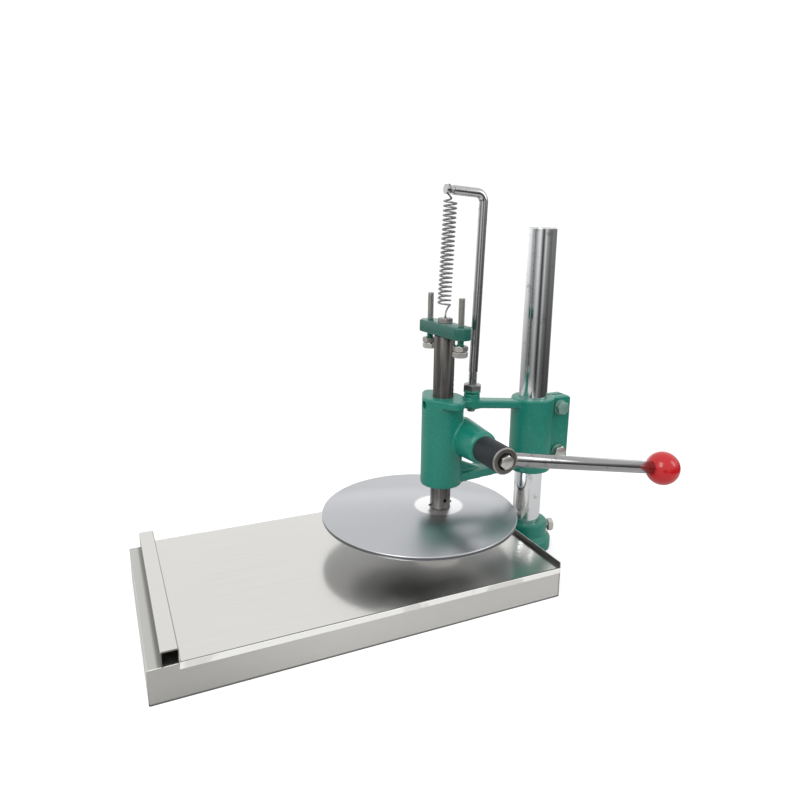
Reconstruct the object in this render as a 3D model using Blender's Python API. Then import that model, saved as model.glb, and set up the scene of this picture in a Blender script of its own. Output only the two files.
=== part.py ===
"""A hand press for dough: a steel disc on a racked ram, worked by a lever.

Metres, +Z up. The ram's axis is the Z axis, the loading end of the tray points to -X,
the column stands at +X and the lever is on the -Y side. The press rests on Z = 0.
"""
import math

import bmesh
import bpy
from mathutils import Matrix, Vector

# Clearances shared by the whole machine
SEAT_GAP = 0.0003
RUNNING_GAP = 0.0003
HOLE_GAP = 0.0003
OVERRUN = 0.004

# Column and ram
COLUMN_RADIUS = 0.018
COLUMN_OFFSET = 0.132
COLUMN_TOP = 0.422
COLUMN_FOOT = 0.004
COLUMN_CHAMFER = 0.0015
RAM_RADIUS = 0.0125
RAM_HOLE_RADIUS = 0.0022
RAM_HOLE_ABOVE_DISC = 0.0120

# Tray and sliding sheet
TRAY_LOADING_END = -0.3585
TRAY_COLUMN_END = 0.0938
TRAY_NEAR_SIDE = -0.1265
TRAY_FAR_SIDE = 0.1215
TRAY_HEIGHT = 0.0368
TRAY_STEEL = 0.0012
TRAY_STOP_HEIGHT = 0.0070
SHEET_STEEL = 0.0010
SHEET_HALF_WIDTH = 0.1278
SHEET_LIP_DEPTH = 0.0070
SHEET_RAIL_OUTER = -0.3460
SHEET_RAIL_WIDTH = 0.0160
SHEET_RAIL_HEIGHT = 0.0150

# Cast base
BASE_THICKNESS = 0.0090
BASE_HALF_WIDTH = 0.0650
BASE_TOE = -0.0800
BASE_CORNER_RADIUS = 0.0120
BASE_BOSS_RADIUS = 0.0340
BASE_BOSS_HEIGHT = 0.0150
BASE_COLLAR_RADIUS = 0.0280
BASE_COLLAR_START = 0.0200
BASE_COLLAR_TOP = 0.0390
BASE_COLLAR_CHAMFER = 0.0015
BASE_WALL_THICKNESS = 0.0090
BASE_WALL_HALF_WIDTH = 0.0620
BASE_WALL_HEIGHT = 0.0310
BASE_RIB_THICKNESS = 0.0080
PAD_RADIUS = 0.0090
PAD_FROM_TOE = 0.0150
PAD_HALF_SPACING = 0.0480

# Head casting
BARREL_RADIUS = 0.0255
BARREL_BOTTOM = 0.1110
BARREL_TOP = 0.2220
BARREL_CHAMFER = 0.0012
STOP_EAR_HALF_LENGTH = 0.0385
STOP_EAR_END_HALF_WIDTH = 0.0040
STOP_EAR_SHOULDER_HALF_WIDTH = 0.0110
STOP_EAR_SHOULDER = 0.0310
STOP_EAR_ROOT_HALF_WIDTH = 0.0220
STOP_EAR_ROOT = 0.0120
STOP_EAR_THICKNESS = 0.0097
CLAMP_RADIUS = 0.0275
CLAMP_TOP = 0.2090
CLAMP_EAR_REACH = 0.0520
CLAMP_EAR_HALF_WIDTH = 0.0130
CLAMP_EAR_BOTTOM = 0.1185
CLAMP_EAR_CORNER = 0.0080
CLAMP_SLIT = 0.0030
BRIDGE_HALF_WIDTH = 0.0100
BRIDGE_FRONT_TOP = 0.2170
BRIDGE_REAR_TOP = 0.2065
BRIDGE_THICKNESS = 0.0100
WEB_HALF_WIDTH = 0.0140
WEB_THICKNESS = 0.0110
WEB_REAR_RISE = 0.0065
GUSSET_HALF_WIDTH = 0.0050
GUSSET_RISE = 0.0300
GUSSET_END = 0.0720
GUIDE_SCREW_RADIUS = 0.0045
GUIDE_SCREW_LENGTH = 0.0060
GUIDE_SCREW_DROP = 0.0085

# Rack and pinion
GEAR_MODULE = 0.0020
PINION_TEETH = 13
PRESSURE_ANGLE = math.radians(20)
TOOTH_BACKLASH = 0.0006
RACK_ADDENDUM = 0.0010
PINION_ADDENDUM = 0.0014
TOOTH_DEDENDUM = 0.0018
RACK_PITCH_LINE = 0.0110
RACK_TEETH = 15
RACK_LOWEST_TOOTH = -3
PINION_HEIGHT = 0.1705
PINION_HALF_LENGTH = 0.0090
SHAFT_RADIUS = 0.0080
BUSH_WALL = 0.0062
FAR_BUSH_WALL = 0.0030
FAR_BOSS_RADIUS = 0.0160
FAR_BOSS_END = 0.0380
FAR_BOSS_WALL = 0.0040
NEAR_BOSS_END = -0.0600
NEAR_BOSS_FACE_RADIUS = 0.0162
NEAR_BOSS_RIM_RADIUS = 0.0197
NEAR_BOSS_ROOT_RADIUS = 0.0237
NEAR_BOSS_BEVEL = 0.0045

# Lever
HUB_RADIUS = 0.0158
HUB_END = -0.1050
HUB_CHAMFER = 0.0012
HUB_RECESS_RADIUS = 0.0100
HUB_RECESS_DEPTH = 0.0030
SHAFT_END = -0.0850
KEY_WIDTH = 0.0050
KEY_LENGTH = 0.0180
LEVER_OFFSET = -0.0945
LEVER_DROOP = math.radians(11)
LEVER_LENGTH = 0.2540
LEVER_ROOT_RADIUS = 0.0055
LEVER_HUB_END_RADIUS = 0.0085
LEVER_KNOB_END_RADIUS = 0.0079
KNOB_RADIUS = 0.0218
KNOB_STUD_RADIUS = 0.0045
KNOB_STUD_LENGTH = 0.0150

# Press disc
DISC_RADIUS = 0.1200
DISC_THICKNESS = 0.0060
DISC_TOP = 0.0787
DISC_OFFSET = -0.0285
SPIGOT_RADIUS = 0.0070
SPIGOT_HEIGHT = 0.0080
DISC_PIN_RADIUS = 0.0014
DISC_PIN_LENGTH = 0.0310

# Crosshead and depth stops
CROSSHEAD_BOTTOM = 0.2965
CROSSHEAD_THICKNESS = 0.0145
CROSSHEAD_HALF_LENGTH = 0.0470
CROSSHEAD_HALF_WIDTH = 0.0125
CROSSHEAD_CORNER = 0.0086
CROSSHEAD_TURN = math.radians(5)
STUD_HALF_SPACING = 0.0330
STUD_RADIUS = 0.0039
STUD_TOP = 0.3437
STUD_BOTTOM = 0.2755
STUD_NUT_FLATS = 0.0160
STUD_NUT_HEIGHT = 0.0068
CENTRE_BOLT_RADIUS = 0.0045
CENTRE_BOLT_LENGTH = 0.0280
CENTRE_BOLT_FLATS = 0.0158
CENTRE_BOLT_HEAD = 0.0060

# Spring and its rod
ROD_RADIUS = 0.0055
ROD_FOOT_OFFSET = 0.0402
ROD_LEAN = math.radians(1.4)
ROD_FOOT = 0.1990
ROD_BEND_RADIUS = 0.0100
ROD_ARM_HEIGHT = 0.4595
ROD_ARM_RISE = math.radians(4)
ROD_TIP_REACH = 0.0047
ROD_NECK_RADIUS = 0.0034
ROD_NECK_INNER = 0.0050
ROD_NECK_OUTER = 0.0021
ROD_BOSS_RADIUS = 0.0100
ROD_BOSS_TOP = 0.2228
ROD_NUT_FLATS = 0.0210
ROD_NUT_HEIGHT = 0.0105
SPRING_COIL_RADIUS = 0.0071
SPRING_WIRE_RADIUS = 0.0011
SPRING_COIL_TOP = 0.4505
SPRING_COIL_BOTTOM = 0.3326
SPRING_COIL_STEPS = 181
SPRING_COIL_START = math.radians(109.5)
SPRING_LOOP_START = math.radians(230)
SPRING_LOOP_END = math.radians(-70)
SPRING_LEAN = 0.0019
SPRING_LEAN_BEARING = math.radians(-25.5)
SPRING_TAIL_TOP = 0.0042
SPRING_TAIL_DEPTH = 0.0080

# Fasteners
CLAMP_BOLT_RADIUS = 0.0050
CLAMP_BOLT_FLATS = 0.0160
CLAMP_BOLT_HEAD = 0.0064
CLAMP_BOLT_TAIL = 0.0040
CLAMP_BOLT_OFFSET = 0.0345
CLAMP_BOLT_END_DISTANCE = 0.0150
CLAMP_NUT_HEIGHT = 0.0080
WASHER_RADIUS = 0.0100
WASHER_THICKNESS = 0.0018
SET_BOLT_RADIUS = 0.0045
SET_BOLT_FLATS = 0.0150
SET_BOLT_HEAD = 0.0065
SET_BOLT_NECK = 0.0030
SET_BOLT_HEIGHT = 0.0275
SET_BOLT_BEARING = math.radians(-18)
HUB_BOLT_RADIUS = 0.0040
HUB_BOLT_FLATS = 0.0150
HUB_BOLT_HEAD = 0.0075
TRAY_SCREW_RADIUS = 0.0025
TRAY_SCREW_HEAD_RADIUS = 0.0048
TRAY_SCREW_HEAD = 0.0024
TRAY_SCREW_LENGTH = 0.0160
END_BOLT_RADIUS = 0.0030
END_BOLT_FLATS = 0.0100
END_BOLT_HEAD = 0.0042
END_BOLT_HEIGHT = 0.0215
END_BOLT_TAIL = 0.0030
END_NUT_HEIGHT = 0.0050

# Worked out from the sizes above
SHEET_BOTTOM = TRAY_HEIGHT + SEAT_GAP
SHEET_TOP = SHEET_BOTTOM + SHEET_STEEL
SHEET_COLUMN_END = TRAY_COLUMN_END - TRAY_STEEL - SEAT_GAP
DISC_BOTTOM = DISC_TOP - DISC_THICKNESS
RAM_BOTTOM = DISC_TOP + SEAT_GAP
RAM_TOP = CROSSHEAD_BOTTOM - SEAT_GAP
PINION_PITCH_RADIUS = GEAR_MODULE * PINION_TEETH / 2
PINION_OFFSET = RACK_PITCH_LINE + PINION_PITCH_RADIUS
PINION_TIP_RADIUS = PINION_PITCH_RADIUS + PINION_ADDENDUM
TOOTH_PITCH = math.pi * GEAR_MODULE
BUSH_RADIUS = SHAFT_RADIUS + RUNNING_GAP + BUSH_WALL
PINION_CAVITY_RADIUS = BUSH_RADIUS + HOLE_GAP
PINION_CAVITY_END = PINION_HALF_LENGTH + RUNNING_GAP + OVERRUN
FAR_BUSH_RADIUS = SHAFT_RADIUS + RUNNING_GAP + FAR_BUSH_WALL
FAR_BUSH_END = FAR_BOSS_END - FAR_BOSS_WALL
HUB_START = NEAR_BOSS_END - RUNNING_GAP
CROSSHEAD_TOP = CROSSHEAD_BOTTOM + CROSSHEAD_THICKNESS
CENTRE_BOLT_TOP = CROSSHEAD_TOP + SEAT_GAP + CENTRE_BOLT_HEAD
SPRING_LOOP_RADIUS = ROD_NECK_RADIUS + 2 * SEAT_GAP + SPRING_WIRE_RADIUS
CLAMP_CENTRE = Vector((COLUMN_OFFSET, 0, 0))
PINION_AXIS = Vector((PINION_OFFSET, 0, PINION_HEIGHT))
LEVER_DIRECTION = Vector((math.cos(LEVER_DROOP), 0, -math.sin(LEVER_DROOP)))

# Facets on round pieces
FINE_FACETS = 48
ROUND_FACETS = 32
SMALL_FACETS = 16
WIRE_SIDES_SHARE = 1
COIL_FACETS = 8
FLAT_ANGLE = math.radians(1.5)
MERGE_DISTANCE = SEAT_GAP / 40
GRID_STEPS_PER_METRE = 1000000

# The spring's wire between its loop, its coil and its tail: a bearing, then
# shares of the coil's radius and of the way down
TOP_LEAD_SHARES = ((math.radians(34), 0.10, 0.22), (math.radians(-2), 0.16, 0.46),
                   (math.radians(19), 0.48, 0.66), (math.radians(62), 0.80, 0.82))
FOOT_LEAD_SHARES = ((math.radians(0), 0.93, 0.15), (math.radians(20), 0.70, 0.40),
                    (math.radians(35), 0.38, 0.70), (math.radians(50), 0.08, 0.95))

SIDES = (-1, 1)
SIDE_NAMES = ("near", "far")
LEVEL_NAMES = ("lower", "upper")
X_AXIS = Vector((1, 0, 0))
Y_AXIS = Vector((0, 1, 0))
Z_AXIS = Vector((0, 0, 1))


def clear_scene():
    for old in list(bpy.data.objects):
        bpy.data.objects.remove(old, do_unlink=True)


def finish(name, colour, roughness, metallic):
    made = bpy.data.materials.new(name)
    made.use_nodes = True
    shader = made.node_tree.nodes["Principled BSDF"]
    shader.inputs["Base Color"].default_value = (*colour, 1)
    shader.inputs["Roughness"].default_value = roughness
    shader.inputs["Metallic"].default_value = metallic
    return made


def facing(start, direction):
    """A matrix that takes +Z to the direction and the origin to the start."""
    turn = Vector(direction).normalized().to_track_quat("Z", "Y").to_matrix().to_4x4()
    return Matrix.Translation(Vector(start)) @ turn


def settle(bm):
    """Snap to a fine grid, merge what meets and leave only triangles, which are always flat."""
    for vert in bm.verts:
        vert.co = [round(value * GRID_STEPS_PER_METRE) / GRID_STEPS_PER_METRE for value in vert.co]
    bmesh.ops.remove_doubles(bm, verts=bm.verts, dist=MERGE_DISTANCE)
    bmesh.ops.dissolve_degenerate(bm, edges=bm.edges, dist=MERGE_DISTANCE)
    bmesh.ops.triangulate(bm, faces=bm.faces)


def fewer_faces(bm):
    """Melt flat neighbours together, where that leaves the surface closed."""
    melted = bm.copy()
    bmesh.ops.dissolve_limit(melted, angle_limit=FLAT_ANGLE, use_dissolve_boundaries=False,
                             verts=melted.verts, edges=melted.edges)
    settle(melted)
    if all(edge.is_manifold for edge in melted.edges):
        bm.free()
        return melted
    melted.free()
    return bm


def blank(bm):
    """A scratch object that holds one closed bmesh."""
    bmesh.ops.recalc_face_normals(bm, faces=bm.faces)
    settle(bm)
    mesh = bpy.data.meshes.new("blank")
    bm.to_mesh(mesh)
    bm.free()
    made = bpy.data.objects.new("blank", mesh)
    bpy.context.scene.collection.objects.link(made)
    return made


def turned(profile, start, direction, facets=ROUND_FACETS):
    """A solid of revolution: the profile is (radius, height) from bottom to top."""
    bm = bmesh.new()
    rings = []
    for radius, height in profile:
        rings.append(bm.verts.new((radius, 0, height)))
    bottom = bm.verts.new((0, 0, profile[0][1]))
    top = bm.verts.new((0, 0, profile[-1][1]))
    chain = [bottom] + rings + [top]
    edges = [bm.edges.new(pair) for pair in zip(chain, chain[1:])]
    bmesh.ops.spin(bm, geom=chain + edges, cent=(0, 0, 0), axis=Z_AXIS, dvec=(0, 0, 0),
                   angle=math.tau, steps=facets, use_merge=True, use_duplicate=False)
    shortest = min(radius for radius, height in profile) * math.tau / facets
    bmesh.ops.remove_doubles(bm, verts=bm.verts, dist=min(shortest, SEAT_GAP) / 10)
    bmesh.ops.transform(bm, matrix=facing(start, direction), verts=bm.verts)
    return blank(bm)


def rod(start, end, radius, end_radius=None, facets=ROUND_FACETS):
    """A round bar or a cone between two points."""
    start = Vector(start)
    length = (Vector(end) - start).length
    last = radius if end_radius is None else end_radius
    return turned([(radius, 0), (last, length)], start, Vector(end) - start, facets)


def hexagon(start, direction, flats, height):
    """A hexagonal bar: flats is the width across the flats."""
    bm = bmesh.new()
    corner = flats / 2 / math.cos(math.pi / 6)
    bmesh.ops.create_cone(bm, cap_ends=True, segments=6, radius1=corner, radius2=corner, depth=height)
    bmesh.ops.translate(bm, vec=Z_AXIS * height / 2, verts=bm.verts)
    bmesh.ops.transform(bm, matrix=facing(start, direction), verts=bm.verts)
    return blank(bm)


def block(low, high):
    """A plain box between two corners."""
    bm = bmesh.new()
    low = Vector(low)
    size = Vector(high) - low
    bmesh.ops.create_cube(bm, size=1, matrix=Matrix.Translation(low + size / 2) @ Matrix.Diagonal((*size, 1)))
    return blank(bm)


def prism(outline, start, end):
    """A closed outline of points, drawn out from start to end."""
    bm = bmesh.new()
    start = Vector(start)
    face = bm.faces.new([bm.verts.new(Vector(point) + start) for point in outline])
    drawn = bmesh.ops.extrude_face_region(bm, geom=[face])["geom"]
    moved = [part for part in drawn if isinstance(part, bmesh.types.BMVert)]
    bmesh.ops.translate(bm, vec=Vector(end) - start, verts=moved)
    return blank(bm)


def rounded_rectangle(low, high, radii, facets=6):
    """Points in XY: one corner radius each, from the lower left corner round to the upper left."""
    corners = [(low[0], low[1]), (high[0], low[1]), (high[0], high[1]), (low[0], high[1])]
    inward = [(1, 1), (-1, 1), (-1, -1), (1, -1)]
    points = []
    for index, (corner, side, radius) in enumerate(zip(corners, inward, radii)):
        centre = (corner[0] + side[0] * radius, corner[1] + side[1] * radius)
        first = math.pi + index * math.pi / 2
        steps = facets if radius else 0
        for step in range(steps + 1):
            angle = first + (math.pi / 2) * step / max(steps, 1)
            points.append((centre[0] + radius * math.cos(angle), centre[1] + radius * math.sin(angle)))
    return points


def combine(body, tool, operation):
    """Join, cut or intersect two scratch objects; the tool is used up."""
    change = body.modifiers.new("combine", "BOOLEAN")
    change.operation = operation
    change.solver = "EXACT"
    change.object = tool
    graph = bpy.context.evaluated_depsgraph_get()
    made = bpy.data.meshes.new_from_object(body.evaluated_get(graph))
    body.modifiers.clear()
    bm = bmesh.new()
    bm.from_mesh(made)
    settle(bm)
    bm.to_mesh(made)
    bm.free()
    body.data = made
    bpy.data.objects.remove(tool, do_unlink=True)
    return body


def joined(body, *tools):
    for tool in tools:
        combine(body, tool, "UNION")
    return body


def drilled(body, *tools):
    for tool in tools:
        combine(body, tool, "DIFFERENCE")
    return body


def node(name, solid, material, parent=None, smooth=True):
    """Name a finished solid, tidy its mesh and hang it under its body's empty."""
    bm = bmesh.new()
    bm.from_mesh(solid.data)
    bm = fewer_faces(bm)
    if parent:
        bmesh.ops.translate(bm, vec=-parent.location, verts=bm.verts)
        solid.parent = parent
    bm.to_mesh(solid.data)
    bm.free()
    solid.name = name
    solid.data.name = name
    solid.data.materials.clear()
    solid.data.materials.append(material)
    if smooth:
        solid.data.shade_smooth()
        solid.data.set_sharp_from_angle(angle=math.radians(32))
    return solid


def body_empty(name, place):
    made = bpy.data.objects.new(name, None)
    made.location = place
    bpy.context.scene.collection.objects.link(made)
    return made


def hex_bolt(under_head, direction, flats, head, radius, length):
    """A hexagon bolt: the shank runs along the direction from the head's bearing face."""
    direction = Vector(direction)
    under_head = Vector(under_head)
    bolt = hexagon(under_head - direction * head, direction, flats, head)
    shank_start = under_head - direction * head / 2
    return joined(bolt, rod(shank_start, under_head + direction * length, radius, facets=SMALL_FACETS))


def ring_nut(bearing, direction, flats, height, bore):
    """A hexagon nut: its bearing face is at the given point, its height runs along the direction."""
    bearing = Vector(bearing)
    direction = Vector(direction)
    nut = hexagon(bearing, direction, flats, height)
    start = bearing - direction * OVERRUN
    return drilled(nut, rod(start, bearing + direction * (height + OVERRUN), bore, facets=SMALL_FACETS))


def base_casting(paint):
    """Low plate under the tray, a wall against the tray's end, and the boss that holds the column."""
    toe = (BASE_TOE, -BASE_HALF_WIDTH)
    wall_start = TRAY_COLUMN_END + SEAT_GAP
    wall_end = wall_start + BASE_WALL_THICKNESS
    outline = rounded_rectangle(toe, (wall_end, BASE_HALF_WIDTH), [BASE_CORNER_RADIUS] * 4)
    plate = prism([(x, y, 0) for x, y in outline], (0, 0, 0), (0, 0, BASE_THICKNESS))
    wall = block((wall_start, -BASE_WALL_HALF_WIDTH, BASE_THICKNESS / 2),
                 (wall_end, BASE_WALL_HALF_WIDTH, BASE_WALL_HEIGHT))
    rib_end = TRAY_COLUMN_END - TRAY_STEEL - SEAT_GAP
    rib = block((BASE_TOE + BASE_CORNER_RADIUS + BASE_BOSS_RADIUS, -BASE_RIB_THICKNESS / 2, BASE_THICKNESS / 2),
                (rib_end, BASE_RIB_THICKNESS / 2, BASE_BOSS_HEIGHT))
    boss = turned([(BASE_BOSS_RADIUS, 0),
                   (BASE_BOSS_RADIUS, BASE_BOSS_HEIGHT),
                   (BASE_COLLAR_RADIUS, BASE_COLLAR_START),
                   (BASE_COLLAR_RADIUS, BASE_COLLAR_TOP - BASE_COLLAR_CHAMFER),
                   (BASE_COLLAR_RADIUS - BASE_COLLAR_CHAMFER, BASE_COLLAR_TOP)],
                  CLAMP_CENTRE, Z_AXIS, FINE_FACETS)
    boss_side = block((wall_start, -BASE_BOSS_RADIUS, 0), (COLUMN_OFFSET, BASE_BOSS_RADIUS, BASE_BOSS_HEIGHT))
    casting = joined(plate, wall, rib, boss_side, boss)
    pad_top = TRAY_HEIGHT - TRAY_STEEL - SEAT_GAP
    for place in pad_places():
        casting = joined(casting, rod(place + Z_AXIS * BASE_THICKNESS / 2, place + Z_AXIS * pad_top,
                                      PAD_RADIUS, facets=SMALL_FACETS))
        casting = drilled(casting, screw_shape(place, HOLE_GAP))
    casting = drilled(casting, rod(CLAMP_CENTRE + Z_AXIS * COLUMN_FOOT,
                                   CLAMP_CENTRE + Z_AXIS * (BASE_COLLAR_TOP + OVERRUN),
                                   COLUMN_RADIUS + HOLE_GAP, facets=FINE_FACETS))
    bearing = set_bolt_direction()
    centre = CLAMP_CENTRE + Z_AXIS * SET_BOLT_HEIGHT
    casting = drilled(casting, rod(centre, centre + bearing * (BASE_BOSS_RADIUS + OVERRUN),
                                   SET_BOLT_RADIUS + HOLE_GAP, facets=SMALL_FACETS))
    for place in end_bolt_places():
        casting = drilled(casting, rod(place - X_AXIS * OVERRUN, place + X_AXIS * (BASE_WALL_THICKNESS + OVERRUN),
                                       END_BOLT_RADIUS + HOLE_GAP, facets=SMALL_FACETS))
    return node("base_casting", casting, paint)


def set_bolt_direction():
    return Vector((math.cos(SET_BOLT_BEARING), math.sin(SET_BOLT_BEARING), 0))


def pad_places():
    return [Vector((BASE_TOE + PAD_FROM_TOE, side * PAD_HALF_SPACING, 0)) for side in SIDES]


def end_bolt_places():
    """Where the bolts cross the face of the wall that the tray's end stands against."""
    return [Vector((TRAY_COLUMN_END + SEAT_GAP, side * PAD_HALF_SPACING, END_BOLT_HEIGHT)) for side in SIDES]


def screw_shape(place, gap):
    """A countersunk screw, or with a gap the hole that takes it; its head is flush with the tray."""
    top = TRAY_HEIGHT + (OVERRUN if gap else 0)
    bottom = TRAY_HEIGHT - TRAY_SCREW_LENGTH - gap
    neck = TRAY_HEIGHT - TRAY_SCREW_HEAD
    profile = [(TRAY_SCREW_RADIUS + gap, bottom),
               (TRAY_SCREW_RADIUS + gap, neck),
               (TRAY_SCREW_HEAD_RADIUS + gap, TRAY_HEIGHT)]
    if gap:
        profile.append((TRAY_SCREW_HEAD_RADIUS + gap, top))
    return turned(profile, place, Z_AXIS, SMALL_FACETS)


def base_tray(steel):
    """Folded steel tray, open below, whose column end stands up as a stop."""
    low = (TRAY_LOADING_END, TRAY_NEAR_SIDE, 0)
    high = (TRAY_COLUMN_END, TRAY_FAR_SIDE, TRAY_HEIGHT)
    tray = block(low, high)
    inner_low = (low[0] + TRAY_STEEL, low[1] + TRAY_STEEL, -OVERRUN)
    inner_high = (high[0] - TRAY_STEEL, high[1] - TRAY_STEEL, high[2] - TRAY_STEEL)
    tray = drilled(tray, block(inner_low, inner_high))
    stop = block((TRAY_COLUMN_END - TRAY_STEEL, TRAY_NEAR_SIDE, TRAY_HEIGHT - TRAY_STEEL),
                 (TRAY_COLUMN_END, TRAY_FAR_SIDE, TRAY_HEIGHT + TRAY_STOP_HEIGHT))
    tray = joined(tray, stop)
    notch_side = BASE_HALF_WIDTH + SEAT_GAP
    notch = block((TRAY_COLUMN_END - TRAY_STEEL - OVERRUN, -notch_side, -OVERRUN),
                  (TRAY_COLUMN_END + OVERRUN, notch_side, BASE_THICKNESS + SEAT_GAP))
    tray = drilled(tray, notch)
    for place in pad_places():
        tray = drilled(tray, screw_shape(place, HOLE_GAP))
    for place in end_bolt_places():
        tray = drilled(tray, rod(place - X_AXIS * (TRAY_STEEL + OVERRUN), place + X_AXIS * OVERRUN,
                                 END_BOLT_RADIUS + HOLE_GAP, facets=SMALL_FACETS))
    return node("base_tray", tray, steel, smooth=False)


def slide_sheet(steel, parent):
    """The sheet that carries the dough: its loading end is folded up and over into a pull rail."""
    rail_inner = SHEET_RAIL_OUTER + SHEET_RAIL_WIDTH
    rail_top = SHEET_BOTTOM + SHEET_RAIL_HEIGHT
    section = [(SHEET_COLUMN_END, SHEET_BOTTOM),
               (SHEET_COLUMN_END, SHEET_TOP),
               (rail_inner, SHEET_TOP),
               (rail_inner, rail_top),
               (SHEET_RAIL_OUTER, rail_top),
               (SHEET_RAIL_OUTER, SHEET_BOTTOM),
               (SHEET_RAIL_OUTER + SHEET_STEEL, SHEET_BOTTOM),
               (SHEET_RAIL_OUTER + SHEET_STEEL, rail_top - SHEET_STEEL),
               (rail_inner - SHEET_STEEL, rail_top - SHEET_STEEL),
               (rail_inner - SHEET_STEEL, SHEET_BOTTOM)]
    sheet = prism([(x, 0, z) for x, z in section], (0, -SHEET_HALF_WIDTH, 0), (0, SHEET_HALF_WIDTH, 0))
    for side in SIDES:
        outer = side * SHEET_HALF_WIDTH
        inner = side * (SHEET_HALF_WIDTH - SHEET_STEEL)
        lip = block((rail_inner, min(inner, outer), SHEET_TOP - SHEET_LIP_DEPTH),
                    (SHEET_COLUMN_END, max(inner, outer), SHEET_TOP))
        sheet = joined(sheet, lip)
    return node("slide_sheet", sheet, steel, parent, smooth=False)


def column(chrome):
    profile = [(COLUMN_RADIUS - COLUMN_CHAMFER, COLUMN_FOOT + SEAT_GAP),
               (COLUMN_RADIUS, COLUMN_FOOT + SEAT_GAP + COLUMN_CHAMFER),
               (COLUMN_RADIUS, COLUMN_TOP - COLUMN_CHAMFER),
               (COLUMN_RADIUS - COLUMN_CHAMFER, COLUMN_TOP)]
    return node("column", turned(profile, CLAMP_CENTRE, Z_AXIS, FINE_FACETS), chrome)


def collar_set_bolt(zinc):
    bearing = set_bolt_direction()
    head_face = CLAMP_CENTRE + Z_AXIS * SET_BOLT_HEIGHT + bearing * (BASE_COLLAR_RADIUS + SET_BOLT_NECK)
    reach = BASE_COLLAR_RADIUS + SET_BOLT_NECK - COLUMN_RADIUS - SEAT_GAP
    bolt = hex_bolt(head_face, -bearing, SET_BOLT_FLATS, SET_BOLT_HEAD, SET_BOLT_RADIUS, reach)
    return node("collar_set_bolt", bolt, zinc)


def tray_screws(zinc):
    for name, place in zip(SIDE_NAMES, pad_places()):
        node("tray_screw_" + name, screw_shape(place, 0), zinc)


def tray_end_bolts(zinc):
    """Bolts through the casting's wall into the tray's end, each with its nut inside the tray."""
    length = BASE_WALL_THICKNESS + TRAY_STEEL + SEAT_GAP + END_NUT_HEIGHT + END_BOLT_TAIL
    for name, place in zip(SIDE_NAMES, end_bolt_places()):
        face = place + X_AXIS * (BASE_WALL_THICKNESS + SEAT_GAP)
        bolt = hex_bolt(face, -X_AXIS, END_BOLT_FLATS, END_BOLT_HEAD, END_BOLT_RADIUS, length)
        node("tray_end_bolt_" + name, bolt, zinc)
        face = place - X_AXIS * (TRAY_STEEL + SEAT_GAP + SEAT_GAP)
        nut = ring_nut(face, -X_AXIS, END_BOLT_FLATS, END_NUT_HEIGHT, END_BOLT_RADIUS + HOLE_GAP)
        node("tray_end_nut_" + name, nut, zinc)


def oblong(half_width, half_length, corner):
    """An outline in XY with cut corners, long in Y."""
    points = [(half_width, -half_length + corner), (half_width, half_length - corner),
              (half_width - corner, half_length), (corner - half_width, half_length),
              (-half_width, half_length - corner), (-half_width, corner - half_length),
              (corner - half_width, -half_length), (half_width - corner, -half_length)]
    return points


def ear_outline():
    """The stop ears in XY: wide on the barrel, with a narrow flat at each end."""
    quarter = [(STOP_EAR_ROOT_HALF_WIDTH, STOP_EAR_ROOT), (STOP_EAR_SHOULDER_HALF_WIDTH, STOP_EAR_SHOULDER),
               (STOP_EAR_END_HALF_WIDTH, STOP_EAR_HALF_LENGTH)]
    half = quarter + [(-x, y) for x, y in reversed(quarter)]
    return half + [(-x, -y) for x, y in half]


def rod_line(height):
    """The leaning centre line of the spring's rod, at a height."""
    return Vector((ROD_FOOT_OFFSET + (height - ROD_BOSS_TOP) * math.tan(ROD_LEAN), 0, height))


def rod_direction():
    return Vector((math.sin(ROD_LEAN), 0, math.cos(ROD_LEAN)))


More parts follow.
